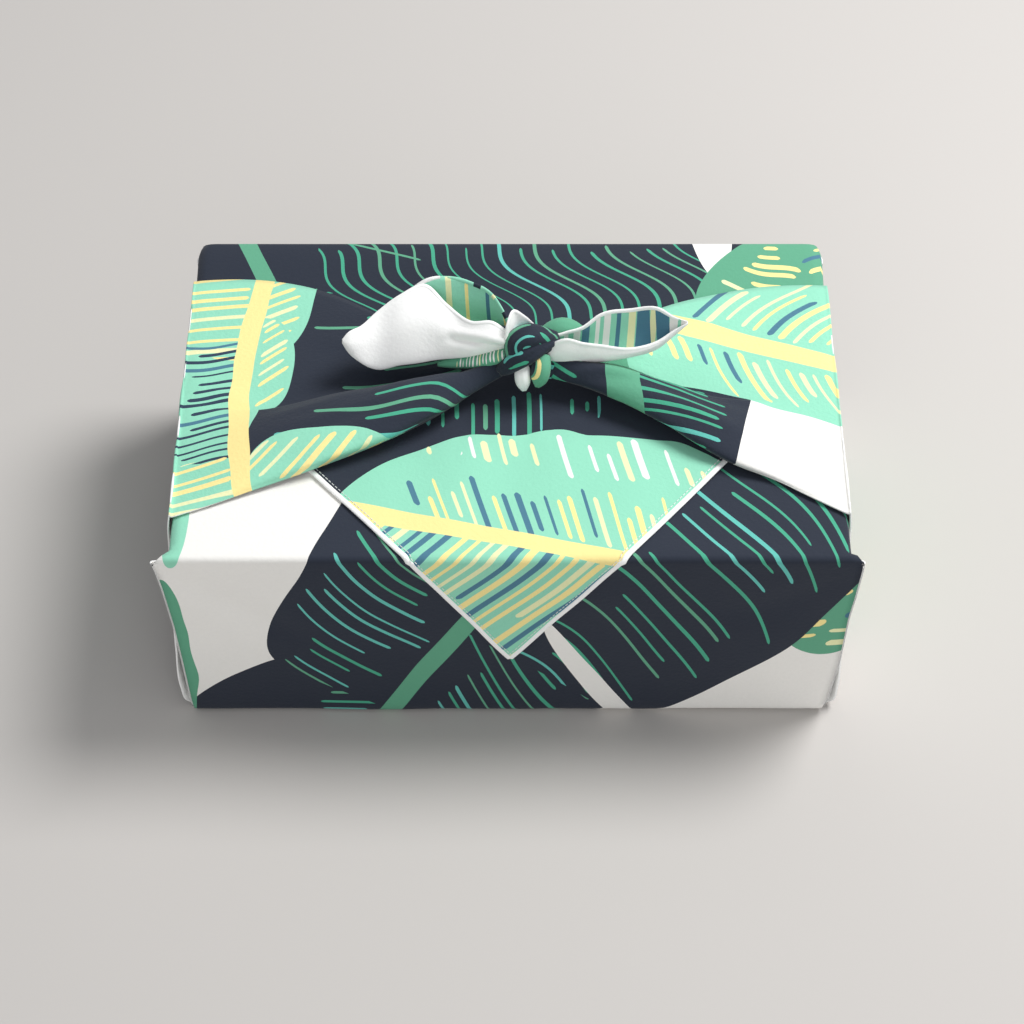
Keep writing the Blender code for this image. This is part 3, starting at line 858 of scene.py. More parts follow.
# %% Outline and rib of the leaf
LOBE_GAIN = 2.6
RIB_AT_BASE = 1.15
RIB_TAPER = 0.7
lobe_place = new_node(g, "ShaderNodeCombineXYZ")
wire(g, lobe_place.inputs[0], div(along, leaf["Lobe length"]))
wire(g, lobe_place.inputs[1], add(leaf["Seed"], mul(is_left, 7.3)))
lobes = new_node(g, "ShaderNodeTexNoise", noise_dimensions="2D")
lobes.inputs["Detail"].default_value = 0.0
wire(g, lobes.inputs["Vector"], lobe_place.outputs[0])
wire(g, lobes.inputs["Scale"], 1.0)
lobe = mul(sub(lobes.outputs[0], 0.5), mul(leaf["Lobe depth"], LOBE_GAIN))
edge = add(mul(width, fullness), mul(lobe, fullness))
mask = less(off_rib, edge)
rib_edge = mul(leaf["Rib"], sub(RIB_AT_BASE, mul(share, RIB_TAPER)))
on_rib = mul(less(off_rib, rib_edge), mask)

# %% Brush strokes that run out from the rib
# In millimetres: how fast a stroke gets its full width at its two ends, and the shortest one
STROKE_BEGINS = 1.3
STROKE_ENDS = 1.5
SHORTEST_STROKE = 4.0
# The strokes on the left of the rib don't meet those on its right
SIDE_SHIFT = 0.37
waving = calc(g, "SINE", add(div(mul(off_rib, 2 * math.pi), leaf["Wave"]), mul(along, 0.021)))
slanted = mul(by_side(leaf["Left slant"], leaf["Right slant"]), off_rib)
swept = add(slanted, mul(leaf["Sweep"], mul(off_rib, off_rib)))
swept = add(swept, mul(waving, leaf["Wander"]))
order = add(div(sub(along, swept), leaf["Pitch"]), mul(is_left, SIDE_SHIFT))
number = calc(g, "FLOOR", order)
dice_place = new_node(g, "ShaderNodeCombineXYZ")
wire(g, dice_place.inputs[0], number)
wire(g, dice_place.inputs[1], add(leaf["Seed"], is_left))


def dice(shift):
    """Three even random numbers for each stroke."""
    moved = new_node(g, "ShaderNodeVectorMath", operation="ADD")
    wire(g, moved.inputs[0], dice_place.outputs[0])
    moved.inputs[1].default_value = (shift, 2 * shift, 0)
    node = new_node(g, "ShaderNodeTexWhiteNoise", noise_dimensions="2D")
    wire(g, node.inputs["Vector"], moved.outputs[0])
    parts = new_node(g, "ShaderNodeSeparateColor")
    wire(g, parts.inputs[0], node.outputs["Color"])
    return parts.outputs


first_dice, second_dice = dice(0.0), dice(57.0)
middle = sub(calc(g, "FRACT", order), add(0.32, mul(first_dice[0], 0.36)))
off_stroke = mul(calc(g, "ABSOLUTE", middle), leaf["Pitch"])
stroke_start = add(rib_edge, add(leaf["Skip"], mul(leaf["Start"], first_dice[1])))
stroke_end = mul(edge, sub(0.96, mul(leaf["Short"], first_dice[2])))
begun = ramp(g, sub(off_rib, stroke_start), 0.0, STROKE_BEGINS)
ended = ramp(g, sub(stroke_end, off_rib), 0.0, STROKE_ENDS)
thickness = mul(leaf["Stroke"], add(0.65, mul(second_dice[0], 0.7)))
body = mul(calc(g, "SQRT", mul(begun, ended)), thickness)
long_enough = more(sub(stroke_end, stroke_start), SHORTEST_STROKE)
kept = mul(long_enough, more(second_dice[1], leaf["Gaps"]))
drawn = mul(less(off_stroke, body), kept)
pick = second_dice[2]
ink = blend_colours(g, less(pick, leaf["Second share"]), leaf["Stroke colour"], leaf["Second colour"])
ink = blend_colours(g, more(pick, sub(1.0, leaf["Third share"])), ink, leaf["Third colour"])
colour = blend_colours(g, drawn, leaf["Leaf"], ink)
colour = blend_colours(g, on_rib, colour, leaf["Rib colour"])
wire(g, leaf_out["Colour"], colour)
seen = calc(g, "MAXIMUM", leaf["Fill"], calc(g, "MAXIMUM", drawn, on_rib))
wire(g, leaf_out["Mask"], mul(mask, seen))
print("Leaf group nodes:", len(leaf_group.nodes))

# %% [markdown]
# The weave.
# The cotton is a fine plain weave: threads pass over and under each other about three times in a
# millimetre. From a step away it only takes the shine off, and close up it shows as a fine grid.
# A second, larger unevenness is the crinkle that soft cotton keeps after it was folded. Both are also painted
# into the colour as shade, a little darker in their dips.

# %% The woven cotton group
WEAVE_INPUTS = [
    ("Place", "Vector", (0, 0, 0)), ("Thread", "Float", 0.36), ("Crinkle", "Float", 1.0),
]
g, weave, weave_out = new_group("woven cotton", WEAVE_INPUTS, [("Height", "Float"), ("Painted shade", "Float")])
weave_group = g
split = new_node(g, "ShaderNodeSeparateXYZ")
wire(g, split.inputs[0], weave["Place"])
turns = div(math.pi, weave["Thread"])
warp = calc(g, "SINE", mul(add(split.outputs[0], split.outputs[1]), turns))
weft = calc(g, "SINE", mul(sub(split.outputs[0], split.outputs[1]), turns))
threads = mul(warp, weft)
crinkle = new_node(g, "ShaderNodeTexNoise")
crinkle.inputs["Scale"].default_value = 0.55
crinkle.inputs["Detail"].default_value = 4.0
wire(g, crinkle.inputs["Vector"], weave["Place"])
crinkled = mul(sub(crinkle.outputs[0], 0.5), weave["Crinkle"])
height = add(mul(threads, 0.05), mul(crinkled, 0.35))
# Painted shade: the colour is made darker in the dips of the threads and the crinkle and lighter on their
# tops
shade = add(mul(threads, 0.02), mul(crinkled, 0.05))
wire(g, weave_out["Height"], height)
wire(g, weave_out["Painted shade"], add(0.985, shade))
print("Weave group nodes:", len(weave_group.nodes))

# %% A cotton material with leaves laid over its ground
CLOTH_MAP = "cloth"


def new_material(name, colour, roughness):
    """A material, its node tree and its shader."""
    material = bpy.data.materials.new(name)
    material.use_nodes = True
    shader = material.node_tree.nodes["Principled BSDF"]
    shader.inputs["Base Color"].default_value = colour
    shader.inputs["Roughness"].default_value = roughness
    return material, material.node_tree, shader


def cotton(name, ground, leaves, crinkle_size=1.0):
    """Printed cotton: a ground colour, leaves from the lowest to the top one, and the weave."""
    material, tree, shader = new_material(name, ground, 0.82)
    shader.inputs["Specular IOR Level"].default_value = 0.3
    shader.inputs["Sheen Weight"].default_value = 0.12
    shader.inputs["Sheen Roughness"].default_value = 0.5
    chart = new_node(tree, "ShaderNodeUVMap", uv_map=CLOTH_MAP)
    place = new_node(tree, "ShaderNodeVectorMath", operation="SCALE")
    place.inputs["Scale"].default_value = 1000.0
    wire(tree, place.inputs[0], chart.outputs[0])
    colour = ground
    for number, values in enumerate(leaves):
        node = new_node(tree, "ShaderNodeGroup", node_tree=leaf_group)
        wire(tree, node.inputs["Place"], place.outputs[0])
        for key, value in {"Seed": 3.7 * number + 1, **values}.items():
            if key == "Base":
                value = (*value, 0)
            if key == "Angle":
                value = math.radians(value)
            node.inputs[key].default_value = value
        colour = blend_colours(tree, node.outputs["Mask"], colour, node.outputs["Colour"])
    woven = new_node(tree, "ShaderNodeGroup", node_tree=weave_group)
    woven.inputs["Crinkle"].default_value = crinkle_size
    wire(tree, woven.inputs["Place"], place.outputs[0])
    # The print colour is multiplied by the weave's painted shade
    shaded_colour = new_node(tree, "ShaderNodeVectorMath", operation="SCALE")
    wire(tree, shaded_colour.inputs[0], colour if leaves else ground[:3])
    wire(tree, shaded_colour.inputs["Scale"], woven.outputs["Painted shade"])
    wire(tree, shader.inputs["Base Color"], shaded_colour.outputs[0])
    bump = tree.nodes.new("ShaderNodeBump")
    bump.inputs["Distance"].default_value = MM
    bump.inputs["Strength"].default_value = 0.5
    wire(tree, bump.inputs["Height"], woven.outputs["Height"])
    wire(tree, shader.inputs["Normal"], bump.outputs[0])
    return material


# %% [markdown]
# Where the leaves lie, and one band of painted shade.
# Each list is one part of the cloth, from the bottom screen to the top one. Places are in
# millimetres on the flat cloth, and angles in degrees, with 0 to the right and 90 up.

# %% Kinds of leaves and strokes
NAVY_LEAF = {"Leaf": NAVY, "Rib": 0.0, "Stroke colour": TEAL, "Second colour": AQUA, "Third colour": GREEN,
             "Stroke": 0.85, "Pitch": 8.2, "Gaps": 0.06}
MINT_LEAF = {"Leaf": MINT, "Rib": 0.0, "Stroke colour": YELLOW, "Second colour": STRAW, "Third colour": SLATE,
             "Stroke": 1.15, "Pitch": 6.6, "Gaps": 0.08}
GREEN_LEAF = {**MINT_LEAF, "Leaf": GREEN}
NAVY_STROKES = {**NAVY_LEAF, "Fill": 0.0, "Lobe depth": 0.0}
MINT_STROKES = {**MINT_LEAF, "Fill": 0.0, "Lobe depth": 0.0}
PALE_STROKES = {**MINT_STROKES, "Stroke colour": STRAW, "Second colour": WHITE, "Third share": 0.0}
INK_STROKES = {**MINT_STROKES, "Stroke colour": INK, "Second colour": SLATE, "Third share": 0.0}


def printed(kind, base, angle, length, left, right, **values):
    """Values of one leaf: its kind, place and size, and what differs from the kind."""
    named = {name.replace("_", " ").capitalize(): value for name, value in values.items()}
    shape = {"Base": base, "Angle": angle, "Length": length, "Left width": left, "Right width": right}
    return {**kind, **shape, **named}


def plain(colour, base, angle, length, left, right, **values):
    """One flat shape in one colour, such as a stem or a band of painted shade."""
    return printed(MINT_LEAF, base, angle, length, left, right, **{"leaf": colour, "gaps": 1.0, **values})


# %% Leaves on the front of the box
FRONT_LEAVES = [
    printed(GREEN_LEAF, (165, 118), -115, 74, 24, 24, pitch=11, stroke=2.0, third_share=0.25,
        lobe_depth=1, left_slant=-0.5, right_slant=0.6, short=0.3),
    plain(NAVY, (0, -30), 170, 158, 60, 64, blunt=0.6, lobe_depth=3, lobe_length=50),
    printed(NAVY_STROKES, (-92, 6), 80, 26, 0, 60, right_slant=0.15, start=8, short=0.6, pitch=6.4,
        blunt=0.1),
    printed(NAVY_LEAF, (-55.5, 9.6), 59.4, 262, 86, 90, blunt=0.12, left_slant=0.02, right_slant=-0.95,
        sweep=0.0036, wander=1.5, start=42, short=0.28, lobe_depth=3.5, lobe_length=44),
    printed(NAVY_LEAF, (-7, 53.5), 49, 272, 40, 103, blunt=0.12, bend=0.0005, left_slant=0.1,
        right_slant=0.1, sweep=-0.0042, wander=2.4, start=26, short=0.32, pitch=8.8, lobe_depth=3,
        lobe_length=60),
    plain(WHITE, (15.5, 72), -68, 120, 5.5, 5.5, bend=0.00163, lobe_depth=0.3),
    plain(GREEN, (-62, -2), 59.4, 104, 4.6, 4.6, blunt=0.1, lobe_depth=0.4),
    # Painted shade: a plain green band along the left front corner fold, over the crease and the groove
    # behind it where shade falls; beside the crease it also stands for the mint print
    plain(GREEN, (-151, -4), 92, 104, 9, 9, lobe_depth=1.6, lobe_length=24),
    plain(MINT, (-149, 108), 86, 44, 5, 5, lobe_depth=0.5),
]

# %% Leaves on the back, the top and the flap
FLAP_RIB = {"base": (164, TOP - 127), "angle": 166.8, "length": 250}
BACK_LEAVES = [
    printed(NAVY_STROKES, (-92, TOP + 106), -1, 204, 0, 92, blunt=0.16, right_slant=0.8, wander=5.5,
        wave=48, start=14, short=0.35, second_share=0.15, pitch=9.4, stroke=0.78),
    printed(NAVY_STROKES, (-96, TOP + 106), -88, 40, 60, 0, left_slant=0.4, start=10, short=0.5, pitch=7,
        wander=0.6, gaps=0.4),
    printed(NAVY_STROKES, (-62, TOP + 2), 0, 104, 0, 36, blunt=0.2, right_slant=0.04, start=10, short=0.5,
        pitch=6.6, wander=0.6),
    plain(WHITE, (98, TOP + 76), 95, 66, 9, 12, blunt=0.7, lobe_depth=0.6),
    printed(GREEN_LEAF, (150, TOP + 20), 100, 97, 54, 44, blunt=1.1, left_slant=0.55, right_slant=0.5,
        start=16, short=0.5, wander=2, wave=40, lobe_depth=1),
    plain(GREEN, (-132, TOP + 112), -68, 74, 4.4, 4.4, blunt=0.1, lobe_depth=0.8),
    printed(MINT_STROKES, **FLAP_RIB, left=92, right=72, blunt=0.6, fill=1.0, gaps=1.0, lobe_depth=3.4,
        lobe_length=24),
    printed(MINT_STROKES, **FLAP_RIB, left=0, right=42, blunt=0.5, right_slant=0.62, sweep=-0.003,
        start=10, short=0.45, pitch=6.2, second_share=0.3, third_share=0.3),
    printed(PALE_STROKES, **FLAP_RIB, left=0, right=74, blunt=0.5, right_slant=0.42, skip=40, start=9,
        short=0.16, pitch=7.2, stroke=1.3),
    printed(MINT_STROKES, **FLAP_RIB, left=92, right=0, blunt=0.6, left_slant=0.55, start=4, short=0.5,
        pitch=6.4, stroke=1.4, gaps=0.03, second_share=0.3, third_share=0.36),
    printed(MINT_STROKES, (-88, TOP - 68), -13.2, 320, 40, 40, blunt=0.2, gaps=1.0, rib=4.7),
    printed(MINT_LEAF, (-52, TOP + 105), 72, 190, 62, 54, rib=4.0, left_slant=0.5, right_slant=0.5,
        start=10, short=0.4, lobe_depth=5),
    printed(GREEN_LEAF, (88, TOP + 104), 100, 170, 40, 44, rib=2.4, left_slant=0.5, right_slant=0.5,
        start=10, short=0.4, lobe_depth=4),
]

# %% Leaves on the wings, the knot and the tails
LEFT_WING_LEAVES = [
    printed(NAVY_STROKES, (-108, -100), 90, 240, 0, 100, blunt=0.1, right_slant=-0.12, sweep=0.001,
        start=66, short=0.3, pitch=7.4, wave=80, wander=1.6, gaps=0.22),
    plain(MINT, (-120, -120), 90, 330, 74, 2, blunt=0.3, lobe_depth=5),
    printed(MINT_LEAF, (-120, 20), 90, 122, 74, 30, blunt=0.4, left_slant=-0.08, right_slant=0.55,
        start=4, short=0.35, pitch=6.8, third_share=0.06, lobe_depth=1.6),
    printed(MINT_LEAF, (-118, -14), 88, 62, 5, 17, blunt=0.4, right_slant=0.9, start=2, short=0.25,
        pitch=6.6, third_share=0.0, second_share=0.5, lobe_depth=1),
    printed(INK_STROKES, (-122, -46), 90, 78, 60, 0, blunt=0.2, left_slant=-0.06, start=3, short=0.6,
        pitch=4.8, stroke=0.85, wander=1.4, wave=40),
    printed(MINT_STROKES, (-120, -112), 90, 68, 66, 0, blunt=0.2, left_slant=-0.2, start=8, short=0.5,
        pitch=6, third_share=0.35),
    printed(MINT_LEAF, (-120, -57), -14, 82, 30, 22, blunt=0.3, left_slant=0.5, right_slant=-0.5, start=2,
        short=0.15, pitch=7.4, third_share=0.0, stroke=1.3, lobe_depth=1),
    plain(NAVY, (-112, -74), 12, 40, 5, 4, lobe_depth=0.3),
    plain(YELLOW, (-117, -76), 101, 250, 4.8, 4.8, bend=-0.00134, blunt=0.12, lobe_depth=1.0,
        lobe_length=20),
]
RIGHT_WING_LEAVES = [
    plain(MINT, (30, 10), -8, 66, 14, 16, blunt=0.16, lobe_depth=1.6),
    printed(MINT_LEAF, (18, 63), -18.7, 330, 62, 38, rib=6.0, left_slant=0.4, right_slant=0.75,
        sweep=0.003, start=6, short=0.45, wander=1.6, wave=60, pitch=7.2, stroke=1.3, second_share=0.2,
        third_share=0.2, lobe_depth=2.4, blunt=0.26),
    plain(NAVY, (2, 12), -12, 110, 7.5, 100, blunt=0.06, lobe_depth=1.6, lobe_length=30),
    printed(NAVY_STROKES, (56, 7), -98, 78, 50, 0, blunt=0.12, left_slant=0.05, sweep=0.0012, wander=1.2,
        start=4, short=0.22, pitch=5.4, stroke=0.95, gaps=0.02, second_share=0.1),
    printed(NAVY_STROKES, (14, 40), -112, 80, 36, 0, blunt=0.2, wander=0.8, start=4, short=0.15,
        pitch=6.2, gaps=0.0),
    plain(GREEN, (46, 26), -82, 84, 8, 8, blunt=0.2, lobe_depth=1.4, lobe_length=18),
]
KNOT_LEAVES = [
    printed(NAVY_STROKES, (49, -12), 90, 100, 18, 15, blunt=0.08, left_slant=0.1, right_slant=0.1,
        wander=0.4, start=3, short=0.3, pitch=5.6, gaps=0.0),
    printed(NAVY_STROKES, (6, -12), 90, 100, 0, 22, blunt=0.08, right_slant=0.3, wander=0.4, start=3,
        short=0.3, pitch=6.4),
]
LOWER_FOLD_LEAVES = [
    printed(NAVY_STROKES, (8, -12), 90, 80, 0, 16, blunt=0.08, right_slant=0.1, wander=0.4, start=2,
        short=0.3, pitch=4.6, gaps=0.0),
]
END_LEAVES = [
    plain(NAVY, (-4, 25), 0, 40, 3.4, 3.4, blunt=0.08, lobe_depth=0.5),
    plain(YELLOW, (2, 20.5), -10, 11, 1.0, 1.0, blunt=0.2, lobe_depth=0.2),
]
MINT_FOLD_LEAVES = [
    printed(PALE_STROKES, (2, 20), 0, 40, 6, 9, blunt=0.1, left_slant=0.2, right_slant=0.2, pitch=1.7,
        stroke=0.3, start=1, short=0.3, wander=0.2, gaps=0.0, second_share=0.9),
]
PRINTED_HEM_LEAVES = [
    plain(NAVY, (9, -6), 90, 24, 1.5, 1.5, blunt=0.1, lobe_depth=0.2),
    plain(STRAW, (19, -6), 90, 24, 1.1, 1.1, blunt=0.1, lobe_depth=0.2),
    plain(NAVY, (27, -6), 80, 24, 1.8, 1.8, blunt=0.1, lobe_depth=0.2),
]
LEFT_TAIL_LEAVES = [
    printed(MINT_STROKES, (-4, -12), 0, 100, 60, 12, blunt=0.1, left_slant=0.12, start=4, short=0.3,
        pitch=8.4, stroke=1.2, gaps=0.0, second_share=0.1, third_share=0.12),
]
RIGHT_TAIL_LEAVES = [
    printed(PALE_STROKES, (10, -12), 0, 92, 60, 12, blunt=0.1, left_slant=0.1, start=2, short=0.1,
        pitch=5.2, stroke=1.5, gaps=0.0, second_share=0.6, third_share=0.26),
    plain(SLATE, (63, -14), 94, 60, 2.6, 2.6, blunt=0.1, lobe_depth=0.4),
    plain(SLATE, (71, -14), 94, 60, 3.0, 3.0, blunt=0.1, lobe_depth=0.4),
]
FINISHES = {
    "front": cotton("front print", WHITE, FRONT_LEAVES),
    "back": cotton("back print", NAVY, BACK_LEAVES),
    "left wing": cotton("left wing print", NAVY, LEFT_WING_LEAVES, 1.6),
    "right wing": cotton("right wing print", WHITE, RIGHT_WING_LEAVES, 1.6),
    "knot": cotton("knot print", NAVY, KNOT_LEAVES, 1.6),
    "lower fold": cotton("lower fold print", NAVY, LOWER_FOLD_LEAVES, 1.6),
    "mint fold": cotton("mint fold print", GREEN, MINT_FOLD_LEAVES),
    "left tail": cotton("left tail print", MINT, LEFT_TAIL_LEAVES),
    "right tail": cotton("right tail print", MINT, RIGHT_TAIL_LEAVES),
    "end": cotton("end print", GREEN, END_LEAVES),
    "green fold": cotton("green fold print", GREEN, []),
    "white": cotton("wrong side of the cloth", PLAIN_WHITE, []),
}
print("Finishes:", list(FINISHES))

# %% [markdown]
# One cloth.
# All stretches are joined into one mesh. Where two of them share an edge their points are merged,
# and a Solidify modifier gives the sheet its real thickness: the print on one side and the white
# wrong side on the other.

# %% Join the stretches
def joined_mesh(name, parts, finishes):
    """One mesh from parts of grid, place, finish and turned, merged where their edges meet."""
    points, faces, places, kinds = [], [], [], []
    order = list(finishes)
    first = 0
    for grid, place, finish, turned in parts:
        rows, columns = grid.shape[:2]
        points.append(grid.reshape(-1, 3) * MM)
        flat_place = place.reshape(-1, 2) * MM
        index = np.arange(rows * columns).reshape(rows, columns)
        corners = [index[:-1, :-1], index[:-1, 1:], index[1:, 1:], index[1:, :-1]]
        quads = np.stack(corners, axis=2).reshape(-1, 4)
        if turned:
            quads = quads[:, ::-1]
        faces.append(quads + first)
        places.append(flat_place[quads.ravel()])
        kinds += [order.index(finish)] * len(quads)
        first += rows * columns
    points, faces, places = np.concatenate(points), np.concatenate(faces), np.concatenate(places)
    mesh = bpy.data.meshes.new(name)
    mesh.from_pydata(points.tolist(), [], faces.tolist())
    layer = mesh.uv_layers.new(name=CLOTH_MAP)
    layer.data.foreach_set("uv", places.ravel().astype(np.float32))
    mesh.polygons.foreach_set("material_index", np.array(kinds, np.int32))
    for finish in order:
        mesh.materials.append(finishes[finish])
    bm = bmesh.new()
    bm.from_mesh(mesh)
    bmesh.ops.remove_doubles(bm, verts=bm.verts, dist=0.02 * MM)
    bm.to_mesh(mesh)
    bm.free()
    mesh.shade_smooth()
    obj = bpy.data.objects.new(name, mesh)
    bpy.context.scene.collection.objects.link(obj)
    return obj


furoshiki = joined_mesh("furoshiki", stretches, FINISHES)
thick = furoshiki.modifiers.new("cloth thickness", "SOLIDIFY")
thick.thickness = CLOTH * MM
thick.offset = 0
thick.material_offset = len(FINISHES)
thick.material_offset_rim = len(FINISHES)
print("Faces of the cloth before its thickness:", len(furoshiki.data.polygons))

# %% [markdown]
# The hem.
# The edge of the cloth is turned over twice and sewn, so it shows as a narrow white band that is
# thicker than the rest. It is a flat tube that holds the edge of the sheet inside it. Only the
# edges that can be seen get one: both sides of the flap, the collar and the rims of the tails.

# %% Hem band
HEM_WIDTH = 2.7
HEM_THICK = 1.5
HEM_INSET = 0.5
HEM_START_Y = -38.0
HEM_RING = 10
RIM_TAPER = ((0, 0.08, 0.8, 1), (0.6, 0.75, 0.75, 0.3))


def hem_tube(edge, inner, size):
    """A flat tube along one edge of a sheet, given the edge, the points beside it and its size."""
    heading = np.gradient(edge, axis=0)
    heading /= np.linalg.norm(heading, axis=1, keepdims=True)
    inward = inner - edge
    inward -= heading * (inward * heading).sum(axis=1, keepdims=True)
    inward /= np.linalg.norm(inward, axis=1, keepdims=True)
    lift = np.cross(heading, inward)
    around = np.linspace(0, 2 * math.pi, HEM_RING + 1)[None, :, None]
    size = size[:, None]
    centre = (edge + inward * (HEM_WIDTH / 2 - HEM_INSET) * size)[:, None]
    wide = (inward * size)[:, None] * (HEM_WIDTH / 2) * np.cos(around)
    thick = (lift * size)[:, None] * (HEM_THICK / 2) * np.sin(around)
    seam = centre[:, 0] + inward * (HEM_WIDTH / 2 + 0.9)
    return centre + wide + thick, seam, lift


middle_line = back_grid[:, len(ACROSS) // 2]
on_flap = (middle_line[:, 1] < HEM_START_Y) & (middle_line[:, 2] > FLAP_TIP_Z - 1)
on_flap &= np.arange(len(back_grid)) > len(back_path)
flap_rows = back_grid[on_flap]
flap_sides = [(flap_rows[:, 0], flap_rows[:, 1], "hem"), (flap_rows[:, -1], flap_rows[:, -2], "hem")]
hem_parts, seams = [], []
for number, (edge, inner, finish) in enumerate(flap_sides + tail_rims):
    share = np.linspace(0, 1, len(edge))
    size = 1 + 0 * share if number < 2 else np.interp(share, *RIM_TAPER)
    tube, seam, lift = hem_tube(edge, inner, size)
    hem_parts.append((tube, roll_places(tube, 0), finish, False))
    if number < 2:
        up = lift * np.sign(lift[:1] @ np.array([0, 0, 1.0]))[:, None]
        seams.append(seam + up * (CLOTH / 2 + 0.12))
hem_finishes = {
    "printed hem": cotton("printed hem", MINT, PRINTED_HEM_LEAVES),
    "hem": cotton("hem cotton", PLAIN_WHITE, []),
}
hem = joined_mesh("hem", hem_parts, hem_finishes)
print("Hem faces:", len(hem.data.polygons), "edges with a seam:", len(seams))

# %% [markdown]
# The hem stitches.
# A machine sews the hem with even stitches about two millimetres apart. One small thread is
# repeated along the seam with Geometry Nodes: the seam lines become curves, are divided evenly,
# and get one stitch on every point, turned along the line.

# %% Stitches along the seam
STITCH_SPACING = 2.3
STITCH_LENGTH = 1.5
STITCH_THICK = 0.42
STITCH_SEED = 4

thread = new_material("sewing thread", paint(222, 226, 222), 0.6)[0]

stitch_tree = bpy.data.node_groups.new("hem stitches", "GeometryNodeTree")
STITCH_INPUTS = (
    ("Spacing", "Float", STITCH_SPACING * MM), ("Stitch length", "Float", STITCH_LENGTH * MM),
    ("Stitch radius", "Float", STITCH_THICK / 2 * MM), ("Seed", "Int", STITCH_SEED),
)
stitch_tree.interface.new_socket("Seam", in_out="INPUT", socket_type="NodeSocketGeometry")
stitch_values = {}
for name, kind, value in STITCH_INPUTS:
    socket = stitch_tree.interface.new_socket(name, in_out="INPUT", socket_type="NodeSocket" + kind)
    stitch_values[socket.identifier] = value
stitch_tree.interface.new_socket("Stitches", in_out="OUTPUT", socket_type="NodeSocketGeometry")

add_node = stitch_tree.nodes.new
entry = add_node("NodeGroupInput").outputs
result = add_node("NodeGroupOutput").inputs
line = add_node("GeometryNodeMeshToCurve")
spread = add_node("GeometryNodeResampleCurve")
spread.mode = "LENGTH"
stitch = add_node("GeometryNodeMeshCylinder")
stitch.inputs["Vertices"].default_value = 6
tangent = add_node("GeometryNodeInputTangent")
aim = add_node("FunctionNodeAlignRotationToVector")
aim.axis = "Z"
stitch_size = add_node("FunctionNodeRandomValue")
stitch_size.inputs[2].default_value = 0.85
stitch_size.inputs[3].default_value = 1.1
placed = add_node("GeometryNodeInstanceOnPoints")
real = add_node("GeometryNodeRealizeInstances")
coloured = add_node("GeometryNodeSetMaterial")
coloured.inputs["Material"].default_value = thread
for socket, source in (
    (line.inputs["Mesh"], entry["Seam"]),
    (spread.inputs["Curve"], line.outputs["Curve"]),
    (spread.inputs["Length"], entry["Spacing"]),
    (stitch.inputs["Radius"], entry["Stitch radius"]),
    (stitch.inputs["Depth"], entry["Stitch length"]),
    (aim.inputs["Vector"], tangent.outputs["Tangent"]),
    (stitch_size.inputs["Seed"], entry["Seed"]),
    (placed.inputs["Points"], spread.outputs["Curve"]),
    (placed.inputs["Instance"], stitch.outputs["Mesh"]),
    (placed.inputs["Rotation"], aim.outputs["Rotation"]),
    (placed.inputs["Scale"], stitch_size.outputs[1]),
    (real.inputs["Geometry"], placed.outputs["Instances"]),
    (coloured.inputs["Geometry"], real.outputs["Geometry"]),
    (result["Stitches"], coloured.outputs["Geometry"]),
):
    stitch_tree.links.new(source, socket)


def seam_object(name, lines):
    """The seam lines as a mesh of points and edges."""
    points, edges = [], []
    for seam_line in lines:
        first = len(points)
        points += (seam_line * MM).tolist()
        edges += [(first + k, first + k + 1) for k in range(len(seam_line) - 1)]
    mesh = bpy.data.meshes.new(name)
    mesh.from_pydata(points, edges, [])
    obj = bpy.data.objects.new(name, mesh)
    bpy.context.scene.collection.objects.link(obj)
    return obj


stitches = seam_object("hem_stitches", seams)
sewing = stitches.modifiers.new("sewing", "NODES")
sewing.node_group = stitch_tree
for identifier, value in stitch_values.items():
    sewing[identifier] = value
bpy.context.view_layer.update()
sewn = stitches.evaluated_get(bpy.context.evaluated_depsgraph_get())
sewn_mesh = bpy.data.meshes.new_from_object(sewn)
stitches.modifiers.remove(sewing)
stitches.data = sewn_mesh
sewn_mesh.materials.clear()
sewn_mesh.materials.append(thread)
sewn_mesh.polygons.foreach_set("material_index", np.zeros(len(sewn_mesh.polygons), np.int32))
print("Stitch faces:", len(sewn_mesh.polygons))

# %% [markdown]
# The carton.
# The gift box inside is hidden by the cloth. It keeps its solid from the model and gets plain
# board, with the fine fibres that grey board has.

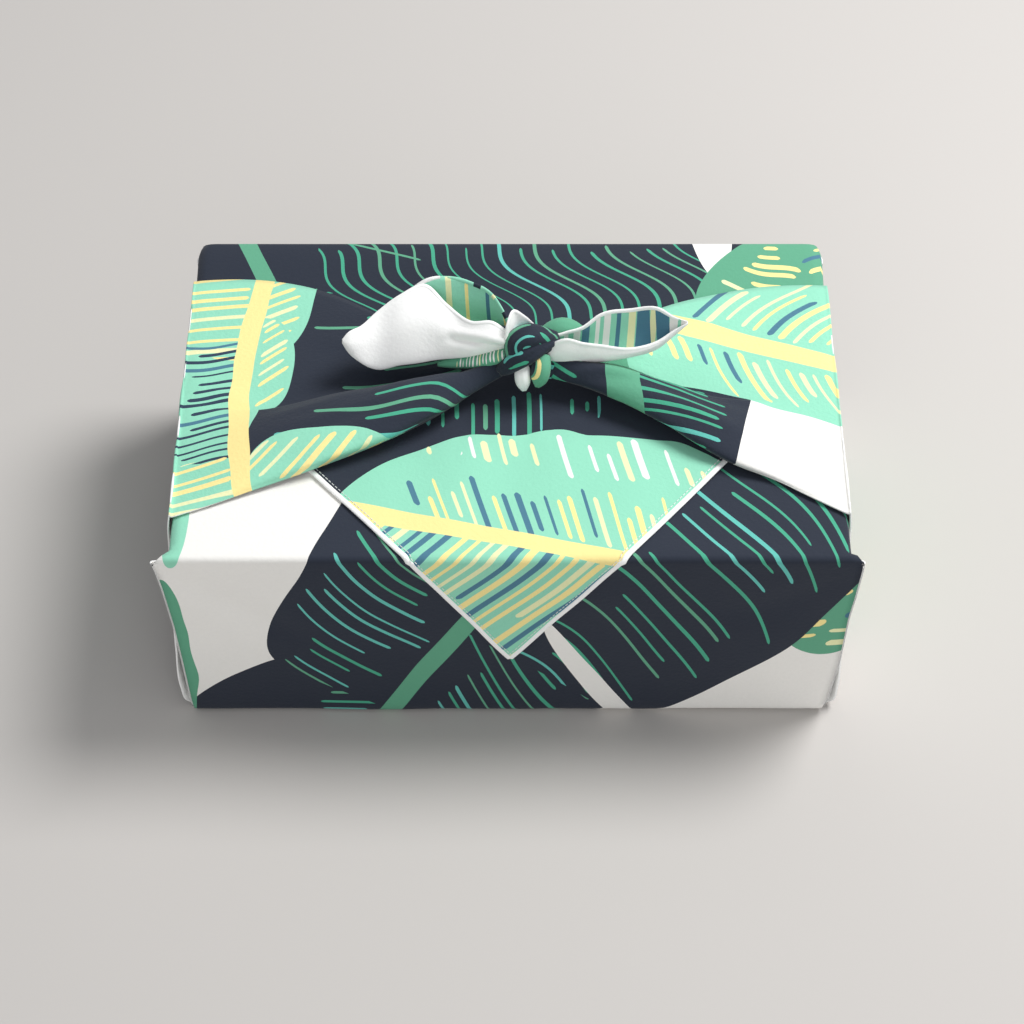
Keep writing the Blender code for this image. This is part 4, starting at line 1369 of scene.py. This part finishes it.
# %% Carton board
def board():
    material, tree, shader = new_material("carton board", paint(205, 187, 158), 0.85)
    spot = tree.nodes.new("ShaderNodeTexCoord")
    fibres = tree.nodes.new("ShaderNodeTexNoise")
    fibres.inputs["Scale"].default_value = 900
    fibres.inputs["Detail"].default_value = 5
    wire(tree, fibres.inputs["Vector"], spot.outputs["Object"])
    colour = blend_colours(tree, fibres.outputs[0], paint(196, 176, 146), paint(214, 198, 170))
    wire(tree, shader.inputs["Base Color"], colour)
    bump = tree.nodes.new("ShaderNodeBump")
    bump.inputs["Distance"].default_value = 0.1 * MM
    wire(tree, bump.inputs["Height"], fibres.outputs[0])
    wire(tree, shader.inputs["Normal"], bump.outputs[0])
    return material


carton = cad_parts["carton"]
carton.data.materials.clear()
carton.data.materials.append(board())
print("Carton faces:", len(carton.data.polygons))

# %% [markdown]
# Light and floor.
# A pale floor, a large soft light from above and behind the right shoulder of the box, a weak one
# from the front and a pale sky. The top then is bright and the front a step darker.

# %% Floor
bpy.ops.mesh.primitive_plane_add(size=8)
floor = bpy.context.object
floor.name = "floor"
floor.data.materials.append(new_material("floor paint", paint(196, 192, 188), 0.9)[0])

# %% Lights
def soft_light(name, place, aim, size, power):
    data = bpy.data.lights.new(name, "AREA")
    data.shape = "DISK"
    data.size = size
    data.energy = power
    lamp = bpy.data.objects.new(name, data)
    lamp.location = place
    away = np.array(place) - np.array(aim)
    lamp.rotation_euler = (
        math.atan2(math.hypot(away[0], away[1]), away[2]), 0, math.atan2(away[1], away[0]) + math.pi / 2,
    )
    bpy.context.scene.collection.objects.link(lamp)


soft_light("key light", (0.85, 0.45, 1.5), (0, 0, 0.05), 0.8, 30)
soft_light("front fill", (0.1, -1.8, 0.9), (0, 0, 0.05), 1.6, 9)
world = bpy.data.worlds.new("pale sky")
world.use_nodes = True
world.node_tree.nodes["Background"].inputs["Color"].default_value = (0.95, 0.97, 1.0, 1)
world.node_tree.nodes["Background"].inputs["Strength"].default_value = 0.42
bpy.context.scene.world = world
bpy.context.scene.view_settings.view_transform = "Standard"

# %% [markdown]
# Say what each piece is.
# The cloth rides on the only body, stands for the plain cloth solid and is one square sheet.

# %% The body and the hidden cloth solid
for piece in (furoshiki, hem, stitches):
    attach(piece, "root")
    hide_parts("wrap_cloth")

# %% Update the scene, and the end
bpy.context.view_layer.update()
